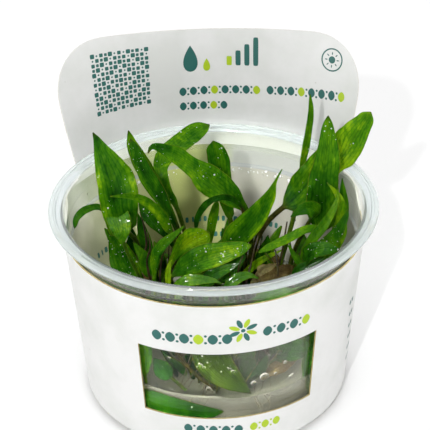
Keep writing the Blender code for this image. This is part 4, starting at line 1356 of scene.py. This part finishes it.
# %% Leaves of the front crown and loose leaves
# the leaves behind the window have low tones: painted shade, as the key light falls in on them
# through the window
leaf("leaf_window_hanging",
     [foot("front", 240), (-2, -25, 38), (-5, -32, 45), (-7, -37.5, 43), (-6, -39.7, 37),
      (-1.5, -40.5, 29), (6.3, -40, 21)],
     plain_blade(10.5), 0.48, FRONT, tone=0.25, cup=0.0, fold=0.05, wave=0.04, wet=0.6,
     patches=((0.5, 0.7, 0.5, 0.4, 0.14),), look=olive_painted_haze_look)
leaf("leaf_window_right",
     [foot("front", 330), (9, -24, 29), (14, -29.5, 31), (20, -32.5, 30.5), (27, -30, 28.5)],
     plain_blade(9.0), 0.4, FRONT, tone=0.26, phase=1.0)
leaf("leaf_front_under",
     [foot("front", 100), (0, -11, 32), (-2, -6, 38), (3, -5, 42), (9.5, -4.5, 46)],
     plain_blade(7.0), 0.5, FRONT_UP, tone=0.4, wet=0.8, phase=2.0)
leaf("leaf_front_wet",
     [foot("front", 150), (-6, -9, 32), (-9, -3, 36.5), (-4, -1, 36), (1, -1, 34.5)],
     plain_blade(4.5), 0.55, FRONT_UP, tone=0.6, wet=1.0, phase=3.0)
leaf("leaf_window_sunk",
     [(-24.5, -24.5, 21), (-28, -27.5, 21.5), (-25, -31.2, 17.5), (-18, -35.8, 14.3),
      (-9, -39, 14.2), (-1.8, -40.1, 15)],
     plain_blade(9.0), 0.27, FRONT, tone=0.14, cup=0.0, fold=0.05, wave=0.03, stalk=0.5, phase=4.0)
leaf("leaf_window_small",
     [(-12.5, -35.5, 20.3), (-16, -34, 23.5), (-18.5, -33, 26), (-21.5, -31.5, 30)],
     plain_blade(5.5), 0.4, FRONT, tone=0.12, stalk=0.5, phase=5.0)
leaf("leaf_window_stalk",
     [(-3.5, -36, 20.3), (-9, -34.5, 24.5), (-14.5, -31.5, 31), (-19, -26, 42)],
     plain_blade(4.0), 0.7, FRONT, tone=0.15, stalk=0.6, brown=0.9)
leaf("dead_leaf_left", [foot("left", 235), (-20.3, 0, 33), (-21, 0.5, 40), (-22.3, 1, 47)],
     plain_blade(3.4), 0.4, FRONT_UP, stalk=0.45, slot="dead_leaf", look=dead_look)
leaf("dead_leaf_back", [(10, 25, 20.6), (14, 27, 22), (20, 28.5, 22.6), (26, 27, 21.6)],
     plain_blade(8.0), 0.2, UP, cup=-0.1, stalk=0.6, slot="dead_leaf", look=dead_look)
leaf("dead_leaf_window", [(3, -30.5, 20.6), (10, -31.5, 21.6), (17, -30, 22.6), (24, -26, 23.4)],
     plain_blade(4.5), 0.2, UP, cup=-0.1, stalk=0.6, slot="dead_leaf", look=dead_look)
print("front crown and loose leaves: 10")

# %% Small leaves between the stalks
BEND = (0.0, -0.6, 0.8)
SMALL = (
    # name, knots, width, start, face, tone, wet
    ("green_left", [foot("left", 280), (-19.5, 0.5, 34), (-21.1, 0, 40.3), (-21.8, 0, 44.9),
                    (-23.3, 0, 47.9), (-25, 0, 51)], 4.0, 0.45, FRONT_UP, 0.45, 0.8),
    ("shoot_left", [foot("left", 320), (-15, -5, 34), (-15, -6, 41.6), (-14.5, -6, 45.6),
                    (-13.5, -6, 47.7)], 2.0, 0.55, FRONT, 0.95, 0.9),
    ("shoot_front", [foot("front", 130), (-11, -12, 34), (-12.2, -10, 40.4), (-11.6, -10, 42.2),
                     (-10.3, -10, 43.5)], 2.2, 0.5, FRONT, 0.9, 0.9),
    ("low_bright", [foot("front", 170), (-8, -15, 34), (-12.4, -14, 41), (-11, -14, 44),
                    (-7, -14, 44.8), (-2, -14, 44.2), (0.8, -14, 42.8)],
     3.8, 0.45, BEND, 0.66, 1.0),
    ("low_middle", [foot("front", 120), (-3, -13, 34), (-4.4, -12, 40.8), (-1.9, -12, 44.4),
                    (2.1, -12, 46.6), (6.6, -12, 48.4)], 4.6, 0.4, BEND, 0.32, 0.7),
    ("low_right", [foot("front", 60), (3, -14.5, 34), (2.1, -14, 40), (5.3, -13, 43.2),
                   (9.1, -12, 43.8), (12.4, -11.5, 42)], 3.4, 0.45, BEND, 0.50, 0.9),
    ("thin_cross", [foot("right", 230), (26, -4, 34), (27, -6, 41), (25, -6, 44.2),
                    (23.3, -5, 47.3), (22.8, -4, 49.7)], 2.2, 0.45, FRONT, 0.42, 0.6),
    ("thin_back", [foot("right", 250), (27, -4, 36), (26.5, -5, 42.3), (24.6, -3.4, 44.4),
                   (22.4, -2, 47.7)], 2.2, 0.5, FRONT, 0.50, 0.6),
    ("right_low", [foot("right", 265), (25.1, -7, 36), (25.1, -8, 41), (27.5, -8, 43),
                   (30.6, -8, 44.3), (33.7, -8, 45.5)], 3.6, 0.4, BEND, 0.30, 0.8),
    ("dark_centre", [foot("centre", 300), (14.5, 7, 32), (16, 8, 36.5), (17.3, 8, 41),
                     (17.9, 8, 45)], 4.4, 0.35, FRONT_UP, 0.18, 0.4),
    ("dark_left", [foot("left", 150), (-25, 7, 33), (-27.3, 8, 38.6), (-25.5, 8, 43.7),
                   (-24.7, 8, 48.1), (-25.1, 8, 51.8)], 4.6, 0.35, FRONT_UP, 0.16, 0.5),
    ("lobe", [foot("left", 205), (-23.5, 2, 36), (-27.0, 0.8, 47), (-29.0, 0.6, 57),
              (-29.2, -0.6, 60.8), (-28.9, -2.2, 60.0), (-28.4, -3.4, 57), (-28.0, -4.0, 53.2)],
     7.2, 0.72, FRONT_UP, 0.60, 1.0),
    ("right_sweep", [foot("right", 290), (25.8, -4.0, 34), (26.4, -4.6, 42), (29.2, -6.4, 51),
                     (32.2, -7.0, 55.8), (34.8, -7.0, 60.4), (36.6, -6.5, 64.6),
                     (37.2, -6.0, 69)], 3.2, 0.36, FRONT_UP, 0.60, 0.9),
    ("right_low_back", [foot("right", 330), (31, -1.0, 38), (35.6, -4.6, 47), (38.6, -6.0, 53),
                        (39.9, -6.4, 58)], 5.0, 0.45, FRONT_UP, 0.66, 0.6),
    ("under_rim", [foot("front", 320), (7, -24, 34), (9, -28.5, 42), (13, -32.5, 48),
                   (19, -34, 51), (24.5, -33, 51)], 9.5, 0.32, UP, 0.48, 0.5),
    ("window_left", [(-24.0, -30.5, 20.4), (-24.4, -31.0, 27), (-24.2, -31.2, 36),
                     (-22.5, -30.5, 45)], 5.0, 0.1, FRONT, 0.50, 0.3),
    ("window_right", [(24.2, -30.4, 10.5), (25.2, -30.8, 19), (25.8, -30.8, 28),
                      (25.4, -30.6, 37), (24.0, -29.5, 46)], 6.0, 0.06, FRONT, 0.30, 0.3))
for name, knots, width, start, face, tone, wet in SMALL:
    leaf("small_" + name, knots, plain_blade(width), start, face, tone=tone, wet=wet, stalk=0.5,
         phase=width * 3, cup=0.2, brown=0.4, solid=False)
WILTED = (
    # name, knots, width, tone
    ("pale", [foot("right", 215), (16, -5, 33), (12.7, -8, 39.7), (13.9, -8, 42.7),
              (16.4, -8, 44), (19.1, -8, 44.9)], 6.4, 0.85),
    ("brown", [foot("right", 235), (24, -5, 34), (22.6, -8, 41), (19.3, -9, 41.6),
               (15.5, -10, 41.3), (11.6, -11, 41.2)], 4.6, 0.40))
for name, knots, width, tone in WILTED:
    leaf("small_wilted_" + name, knots, plain_blade(width), 0.45, FRONT_UP, tone=tone, wet=0.6,
         stalk=0.5, cup=0.3, wave=0.25, slot="dead_leaf", look=dead_look, solid=False)
print("small leaves:", len(SMALL) + len(WILTED))

# %% [markdown]
# ## Crowns
# Each crown is a short dark rootstock, knobbly and wet, from whose top the stalks rise. The
# solid is replaced by a rounder body with a ring of scars where older stalks stood.

# %% Crowns
crown_look, tree, shader = finish("crown_brown", Roughness=0.45, Coat_Weight=0.3)
bark = noise(tree, 420.0, 5.0, 0.65)
tree.links.new(ramp(tree, bark, (0.25, (0.012, 0.008, 0.003)), (0.55, (0.060, 0.042, 0.014)),
                    (0.8, (0.150, 0.130, 0.040))), shader.inputs["Base Color"])
bump(tree, shader, bark, 0.5 * MM)
CROWN_OUTLINE = [(0.0, 12.0), (1.4, 12.15), (2.4, 12.7), (3.1, 14.2), (3.45, 15.8), (3.3, 17.0),
                 (3.75, 18.4), (3.6, 19.6), (3.9, 21.3), (3.75, 22.8), (3.3, 24.0), (2.2, 24.55),
                 (0.0, 24.7)]
for crown, (x, y) in CROWNS.items():
    body = turned_piece("plant_crown_" + crown, CROWN_OUTLINE, 24, crown_look)
    body.data.transform(Matrix.Translation((x * MM, y * MM, 0.0)))
    dress(body, "crown", "crown_" + crown)
print("crowns:", len(CROWNS))

# %% [markdown]
# ## Young leaves, stems and roots
# Between the large leaves stand young narrow ones, old brown stalks and fine roots. They are
# many and all alike, so Geometry Nodes scatter copies of one small leaf round the crowns, and
# turn lines of points into tubes for the stalks and the roots.

# %% A small leaf to copy
PATTERN_LONG, PATTERN_RISE, PATTERN_THICK = 10, 2.2, 0.25


def small_leaf():
    """A curved leaf with few faces; its stored numbers feed the leaf finish."""
    rows, columns = 9, 4
    points, along, across = [], [], []
    for row in range(rows + 1):
        part = row / rows
        half = 0.35 + 1.15 * math.sin(math.pi * min(1.0, part ** 0.8)) if row < rows else 0.05
        for column in range(columns + 1):
            side = column / columns * 2 - 1
            points.append((half * side,
                           PATTERN_RISE * part ** 2 - 0.25 * half * (1 - side * side),
                           PATTERN_LONG * part))
            along.append(part)
            across.append(side)
    faces = [(r * (columns + 1) + c, r * (columns + 1) + c + 1,
              (r + 1) * (columns + 1) + c + 1, (r + 1) * (columns + 1) + c)
             for r in range(rows) for c in range(columns)]
    obj = piece("small_leaf", points, faces, leaf_look)
    for key, values in (("along", along), ("across", across)):
        obj.data.attributes.new(key, "FLOAT", "POINT").data.foreach_set("value", values)
    thick = obj.modifiers.new("thick", "SOLIDIFY")
    thick.thickness = PATTERN_THICK * MM
    thick.offset = 0.0
    return obj


def scatter_tree():
    """Geometry Nodes that stand copies of a leaf on a ground mesh, each leaning its own way."""
    tree, given = geometry_tree(
        "young leaves", Ground="Geometry", Leaf="Object", Density="Float", Smallest="Float",
        Largest="Float", Lean="Float", Darkest="Float", Palest="Float", Reach="Float",
        Seed="Int", Finish="Material")
    spots = node(tree, "GeometryNodeDistributePointsOnFaces", {
        "Mesh": given["Ground"], "Density": given["Density"], "Seed": given["Seed"]})

    def chance(low, high, shift):
        """A random number for each copy; every use has its own shift of the seed."""
        return node(tree, "FunctionNodeRandomValue", {
            "Min": low, "Max": high, "Seed": sums(tree, "ADD", given["Seed"], shift)},
            data_type="FLOAT").outputs["Value"]

    lean = given["Lean"]
    turn = node(tree, "ShaderNodeCombineXYZ", {
        "X": chance(share(tree, lean, -1.0), share(tree, lean, 0.3), 1),
        "Y": chance(share(tree, lean, -0.5), share(tree, lean, 0.5), 2),
        "Z": chance(0.0, math.tau, 3)}).outputs[0]
    copies = node(tree, "GeometryNodeInstanceOnPoints", {
        "Points": spots.outputs["Points"],
        "Instance": node(tree, "GeometryNodeObjectInfo",
                         {"Object": given["Leaf"]}).outputs["Geometry"],
        "Rotation": turn, "Scale": chance(given["Smallest"], given["Largest"], 4)})
    toned = node(tree, "GeometryNodeStoreNamedAttribute", {
        "Geometry": copies.outputs[0], "Name": "tone",
        "Value": chance(given["Darkest"], given["Palest"], 5)},
        data_type="FLOAT", domain="INSTANCE")
    # points that would pass the cup's wall are drawn in to it
    place = node(tree, "GeometryNodeInputPosition").outputs[0]
    shrink = sums(tree, "MINIMUM", 1.0, sums(tree, "DIVIDE", given["Reach"],
                                             from_axis(tree, place)))
    inside = node(tree, "ShaderNodeVectorMath", {
        0: place, 1: node(tree, "ShaderNodeCombineXYZ",
                          {"X": shrink, "Y": shrink, "Z": 1.0}).outputs[0]},
        operation="MULTIPLY").outputs["Vector"]
    kept = node(tree, "GeometryNodeSetPosition", {
        "Geometry": real_copies(tree, toned.outputs[0]), "Position": inside})
    close_tree(tree, kept.outputs[0], given["Finish"])
    return tree

print("the tree for young leaves is defined")

# %% Young leaves
SCATTER = scatter_tree()
DISC_CORNERS = 12
INSIDE_WALL_R = 39.8
pattern = small_leaf()


def young_leaves(name, discs, density, sizes, lean, tones, seed):
    """Scatter small leaves on flat discs; each disc is (x, y, z, radius) in millimetres."""
    points, faces = [], []
    for x, y, z, radius in discs:
        faces.append(tuple(range(len(points), len(points) + DISC_CORNERS)))
        turns = [math.tau * step / DISC_CORNERS for step in range(DISC_CORNERS)]
        points += [(x + radius * math.cos(t), y + radius * math.sin(t), z) for t in turns]
    obj = piece(name, points, faces)
    grown(obj, SCATTER, Leaf=pattern, Density=density, Smallest=sizes[0], Largest=sizes[1],
          Lean=lean, Darkest=tones[0], Palest=tones[1], Reach=INSIDE_WALL_R * MM, Seed=seed,
          Finish=leaf_look)
    obj.data.shade_smooth()
    return dress(obj, "leaf")


# some stand on every crown, and lower ones behind the window, whose darker tones are painted shade
on_crowns = [(x, y, 23.0, 6.0) for x, y in CROWNS.values()]
young = young_leaves("young_leaves", on_crowns, 75000.0, (1.3, 2.3), 0.55, (0.15, 0.7), 3)
low = young_leaves("low_leaves", [(0.0, -20.0, 18.9, 17.0)], 90000.0, (1.0, 2.2), 0.6,
                   (-0.1, 0.35), 8)
bpy.data.objects.remove(pattern)
print("young leaves:", len(young.data.polygons), "and", len(low.data.polygons), "faces")

# %% Tubes along lines
THINNING = 0.65


def tube_tree():
    """Geometry Nodes that give a line of points a round body, thinner towards its end."""
    tree, given = geometry_tree("tubes", Lines="Geometry", Thickness="Float", Sides="Int",
                                Finish="Material")
    curve = node(tree, "GeometryNodeMeshToCurve", {"Mesh": given["Lines"]})
    part = node(tree, "GeometryNodeSplineParameter").outputs["Factor"]
    thin = sums(tree, "MULTIPLY", given["Thickness"],
                sums(tree, "SUBTRACT", 1.0, share(tree, part, THINNING)))
    sized = node(tree, "GeometryNodeSetCurveRadius", {"Curve": curve.outputs[0], "Radius": thin})
    circle = node(tree, "GeometryNodeCurvePrimitiveCircle", {"Resolution": given["Sides"],
                                                             "Radius": 1.0})
    body = node(tree, "GeometryNodeCurveToMesh", {
        "Curve": sized.outputs[0], "Profile Curve": circle.outputs["Curve"],
        "Scale": thin, "Fill Caps": True})
    close_tree(tree, real_copies(tree, body.outputs[0]), given["Finish"])
    return tree


TUBES = tube_tree()


def tubes(name, lines, thickness, sides, look, slot):
    """One piece of many tubes; each line is a list of points in millimetres."""
    points, edges = [], []
    for line in lines:
        edges += [(len(points) + step, len(points) + step + 1) for step in range(len(line) - 1)]
        points += line
    obj = piece(name, points, [], edges=edges)
    grown(obj, TUBES, Thickness=thickness * MM, Sides=sides, Finish=look)
    obj.data.shade_smooth()
    return dress(obj, slot)

print("tube tree:", len(TUBES.nodes), "nodes")

# %% Finishes of roots and old stalks
stalk_look, tree, shader = finish("old_stalk_brown", Roughness=0.4, Specular_IOR_Level=0.3)
tree.links.new(ramp(tree, noise(tree, 300.0, 3.0), (0.35, (0.010, 0.006, 0.002)),
                    (0.55, (0.045, 0.028, 0.008)), (0.75, (0.060, 0.090, 0.010))),
               shader.inputs["Base Color"])
root_look, tree, shader = finish("root_pale_brown", Roughness=0.5, Specular_IOR_Level=0.3)
tree.links.new(ramp(tree, noise(tree, 200.0, 3.0), (0.35, (0.050, 0.032, 0.014)),
                    (0.7, (0.260, 0.210, 0.130))), shader.inputs["Base Color"])
print("finishes of roots and stalks are ready")

# %% Places of the roots and the stalks
STALKS_EACH, STALK_FOOT_Z = 15, 21.0
ROOTS_EACH, ROOT_Z, ROOT_START_R = 16, 17.0, 2.5
ROOT_LIMIT_R = 38.0
TUFT_ROOTS, TUFT_START_R = 56, 3.0
TUFT_LIMIT_R = 38.4


def out_from(centre, away, reach, limit):
    """A place at a reach and an angle from a centre, but no farther out than a limit."""
    x, y = centre[0] + reach * math.cos(away), centre[1] + reach * math.sin(away)
    shrink = min(1.0, limit / max(1.0, math.hypot(x, y)))
    return x * shrink, y * shrink


chance = np.random.default_rng(11)
stalks, roots = [], []
for centre in CROWNS.values():
    for _ in range(STALKS_EACH):
        turn, lean = chance.uniform(0, math.tau), chance.uniform(2.0, 9.0)
        tall = chance.uniform(9.0, 24.0)
        start = Vector((centre[0] + FOOT_RING * math.cos(turn),
                        centre[1] + FOOT_RING * math.sin(turn), STALK_FOOT_Z))
        stalks.append([start + Vector((math.cos(turn + 0.5 * t) * lean * t ** 1.5,
                                       math.sin(turn + 0.5 * t) * lean * t ** 1.5,
                                       tall * t)) for t in np.linspace(0, 1, 9)])
    for _ in range(ROOTS_EACH):
        turn, reach = chance.uniform(0, math.tau), chance.uniform(6.0, 20.0)
        deep, bend = chance.uniform(2.0, 11.0), chance.uniform(-1.2, 1.2)
        roots.append([(*out_from(centre, turn + bend * t * t, ROOT_START_R + reach * t,
                                 ROOT_LIMIT_R),
                       ROOT_Z - deep * math.sin(1.6 * t) + 0.5 * math.sin(9 * t + turn))
                      for t in np.linspace(0, 1, 14)])
# above the gel the front crown has a tuft of fine roots that arch down into it
for _ in range(TUFT_ROOTS):
    turn, reach = chance.uniform(math.pi, math.tau), chance.uniform(5.0, 19.0)
    high, bend = chance.uniform(3.0, 15.0), chance.uniform(-0.9, 0.9)
    roots.append([(*out_from(CROWNS["front"], turn + bend * t, TUFT_START_R + reach * t,
                             TUFT_LIMIT_R),
                   22 - 5 * t + high * math.sin(math.pi * t) + 0.4 * math.sin(11 * t + turn))
                  for t in np.linspace(0, 1, 16)])
print("stalks and roots:", len(stalks), len(roots))

# %% Roots and old stalks
# a few long dark stalks stand out from the rest
LONG_STALKS = (
    ("left", [(-21, 3, 33), (-22.8, 2, 42.1), (-20.9, 3, 47.3), (-21.2, 4, 53.3),
              (-22.2, 5, 58.5)]),
    ("left", [(-17, -2, 32), (-17.4, -4, 38.6), (-16.7, -2, 44.3), (-14.9, 0, 49.4)]),
    ("left", [(-20, 0, 35), (-21, 0, 43.3), (-19.8, 0, 48.8), (-20.5, 1, 53.6)]),
    ("right", [(19, -2, 31), (18.5, -4, 37.4), (20.5, -3, 44.1), (21.5, -2, 49.2),
               (22.5, -1, 55.1)]),
    ("right", [(24, -3, 32), (25, -5, 39), (26, -4, 43.5), (28.6, -3, 48.2), (32.1, -2, 52)]),
    ("right", [(25.5, -4, 34), (26.3, -6, 41.1), (27.4, -5, 45.2), (29, -4, 48.4)]),
    ("front", [(8, -11, 32), (8.9, -8, 38.3), (10.4, -6, 42.4), (11.9, -4, 47.6),
               (13.4, -2, 51.3)]),
    ("front", [(5.5, -12, 36), (6.2, -10, 44), (7, -9, 46.9), (8, -8, 48.3)]),
    ("right", [(19.5, -6, 33), (18.6, -10, 38.8), (18.5, -8, 45.3), (18.2, -6, 48.4)]))
LONG_FOOT_Z = 23.0
long_stalks = [smooth_path([(*CROWNS[crown], LONG_FOOT_Z)] + points, 8)
               for crown, points in LONG_STALKS]
# thickness in millimetres and the number of sides
tubes("long_stalks", long_stalks, 0.62, 9, stalk_look, "crown")
tubes("old_stalks", stalks, 0.42, 7, stalk_look, "crown")
tubes("fine_roots", roots, 0.24, 6, root_look, "crown")
print("long stalks:", len(long_stalks))

# %% [markdown]
# ## Water drops
# Everything in the cup is wet. Small drops sit on the upper faces of the leaves and on the
# inside of the wall, and a row of them hangs under its ledge. Geometry Nodes strew flattened
# beads with a fixed seed, more of them where the stored wetness is high, and set each one
# square to the surface. Behind the window hang a few large drops, which are placed one by one.

# %% A tree for drops
BEAD_SEGMENTS, BEAD_RINGS = 8, 5
BEAD_FACES = BEAD_SEGMENTS * BEAD_RINGS
BEAD_HEIGHT = 0.62


def drop_tree():
    """Geometry Nodes that strew beads on a surface by its wetness."""
    tree, given = geometry_tree(
        "water drops", Surface="Geometry", Density="Float", Smallest="Float", Largest="Float",
        Evenness="Float", Seed="Int", Finish="Material")
    wet = node(tree, "GeometryNodeInputNamedAttribute", {"Name": "wet"}, data_type="FLOAT")
    # the drops gather in patches, where a slow noise is high
    cloud = node(tree, "ShaderNodeTexNoise", {"Scale": 110.0, "Detail": 2.0}).outputs[0]
    patch = stretched(tree, cloud, 0.46, 0.66, given["Evenness"])
    spots = node(tree, "GeometryNodeDistributePointsOnFaces", {
        "Mesh": given["Surface"], "Seed": given["Seed"],
        "Density": sums(tree, "MULTIPLY", given["Density"],
                        sums(tree, "MULTIPLY", patch, wet.outputs["Attribute"]))})
    # most drops are small: a random number is raised to a power before it sets the size
    random = node(tree, "FunctionNodeRandomValue", {"Seed": given["Seed"]}, data_type="FLOAT")
    size = sums(tree, "ADD", given["Smallest"], sums(
        tree, "MULTIPLY", sums(tree, "POWER", random.outputs["Value"], 5.0),
        sums(tree, "SUBTRACT", given["Largest"], given["Smallest"])))
    bead = node(tree, "GeometryNodeMeshUVSphere", {"Radius": 1.0, "Segments": BEAD_SEGMENTS,
                                                   "Rings": BEAD_RINGS})
    flat = node(tree, "GeometryNodeTransform", {"Geometry": bead.outputs["Mesh"],
                                                "Scale": (1.0, 1.0, BEAD_HEIGHT)})
    copies = node(tree, "GeometryNodeInstanceOnPoints", {
        "Points": spots.outputs["Points"], "Instance": flat.outputs[0],
        "Rotation": spots.outputs["Rotation"], "Scale": size})
    close_tree(tree, real_copies(tree, copies.outputs[0]), given["Finish"])
    return tree


DROPS = drop_tree()
water_look, _, _ = finish("clear_water", Base_Color=(1, 1, 1, 1), Roughness=0.02, IOR=1.33,
                          Transmission_Weight=1.0)
# the small beads on leaves are partly white: painted glints that stand in for sparks of light on
# wet drops
bead_painted_glint_look, _, _ = finish("bright_beads", Base_Color=(1, 1, 1, 1), Roughness=0.10, IOR=1.38,
                         Transmission_Weight=0.35)
print("drop tree:", len(DROPS.nodes), "nodes")

# %% Drops on leaves
def strewn(name, surfaces, density, sizes, seed, look, even=0.0):
    """Beads on copies of some pieces, kept as one piece; even is the least share of them."""
    bm = bmesh.new()
    for surface in surfaces:
        bm.from_mesh(surface.data)
    mesh = bpy.data.meshes.new(name)
    bm.to_mesh(mesh)
    bm.free()
    obj = bpy.data.objects.new(name, mesh)
    bpy.context.scene.collection.objects.link(obj)
    grown(obj, DROPS, Density=density, Smallest=sizes[0] * MM, Largest=sizes[1] * MM, Seed=seed,
          Evenness=even, Finish=look)
    obj.data.shade_smooth()
    obj.visible_shadow = False
    return dress(obj, "gel")


leaves = [obj for obj in bpy.data.objects if obj.name.startswith("plant_leaf")]
on_leaves = strewn("drops_on_leaves", leaves, 800000.0, (0.06, 0.32), 5, bead_painted_glint_look)
print("drops on leaves:", len(on_leaves.data.polygons) // BEAD_FACES)

# %% Drops on the wall and under the ledge
WET_TOP_Z = 50.0
WET_BELOW = 0.35
HANG_R, HANG_Z = 43.3, (49.4, 51.4)
HANG_TURNS = (0.5, 2.3)
HANG_STEPS = 24

# the wetness of the wall: most at the top, a little on the rest
wall = turned_piece("wall_film", [(41.6, 21.0), (43.4, 48.0), (44.1, 56.6)], 90, water_look)
bm = bmesh.new()
bm.from_mesh(wall.data)
bmesh.ops.reverse_faces(bm, faces=[face for face in bm.faces
                                   if face.normal.dot(face.calc_center_median().xy.to_3d()) > 0])
bm.to_mesh(wall.data)
bm.free()
wall.data.attributes.new("wet", "FLOAT", "POINT").data.foreach_set(
    "value", [1.0 if vertex.co.z > WET_TOP_Z * MM else WET_BELOW
              for vertex in wall.data.vertices])
on_wall = strewn("drops_on_wall", [wall], 30000.0, (0.12, 0.5), 9, water_look, 1.0)
bpy.data.objects.remove(wall)

# a dense row of beads hangs under the ledge at the back
ledge = piece("ledge_film", [(HANG_R * math.cos(t), HANG_R * math.sin(t), z)
                             for t in np.linspace(*HANG_TURNS, HANG_STEPS + 1) for z in HANG_Z],
              [(2 * k, 2 * k + 1, 2 * k + 3, 2 * k + 2) for k in range(HANG_STEPS)])
outward(ledge)
if ledge.data.polygons[0].normal.y > 0:
    ledge.data.flip_normals()
ledge.data.attributes.new("wet", "FLOAT", "POINT").data.foreach_set(
    "value", [1.0] * len(ledge.data.vertices))
# these beads carry the same painted white glints
strewn("drops_on_ledge", [ledge], 450000.0, (0.15, 0.75), 4, bead_painted_glint_look, 1.0)
bpy.data.objects.remove(ledge)
print("drops on the wall:", len(on_wall.data.polygons) // BEAD_FACES)

# %% Large drops behind the window
# angle from the front in degrees, height and radius in millimetres
WINDOW_DROPS = ((-8.5, 24.6, 0.7), (-23.9, 22.7, 0.55), (-24.3, 35.1, 0.5), (14.5, 26.5, 1.5),
                (9.9, 25.1, 1.0), (19.2, 27.1, 0.6), (23.5, 30.2, 0.65), (27.3, 23.7, 0.9),
                (-11.7, 33.5, 0.8), (-10.2, 32.8, 0.55), (0.0, 32.0, 0.55), (1.2, 30.9, 0.7))
# the inner wall's height and radius at its foot, and how much they grow up to the ledge
WALL_FOOT_Z, WALL_FOOT_R = 2.6, 40.1
WALL_RISE, WALL_SPREAD = 48.6, 3.5
# how thick a drop is across the wall and up it, and how far it stands off, by its radius
DROP_ACROSS, DROP_UP = 0.5, 0.92
DROP_OFF_WALL = 0.55


def large_drop(angle, height, radius):
    """A bead on the inside of the wall, flattened against it."""
    wall_r = WALL_FOOT_R + (height - WALL_FOOT_Z) / WALL_RISE * WALL_SPREAD
    reach = wall_r - radius * DROP_OFF_WALL
    turn = math.radians(angle)
    place = Vector((reach * math.sin(turn), -reach * math.cos(turn), height)) * MM
    bm = bmesh.new()
    bmesh.ops.create_icosphere(bm, subdivisions=3, radius=radius * MM)
    bm.transform(Matrix.Translation(place) @ Matrix.Rotation(turn, 4, "Z")
                 @ Matrix.Diagonal((1.0, DROP_ACROSS, DROP_UP, 1.0)))
    return bm


mesh = bpy.data.meshes.new("window_drops")
together = bmesh.new()
for spot in WINDOW_DROPS:
    single = large_drop(*spot)
    single.to_mesh(mesh)
    together.from_mesh(mesh)
    single.free()
together.to_mesh(mesh)
together.free()
mesh.materials.append(water_look)
mesh.shade_smooth()
window_drops = bpy.data.objects.new("window_drops", mesh)
bpy.context.scene.collection.objects.link(window_drops)
window_drops.visible_shadow = False
dress(window_drops, "gel")
print("large drops:", len(WINDOW_DROPS))
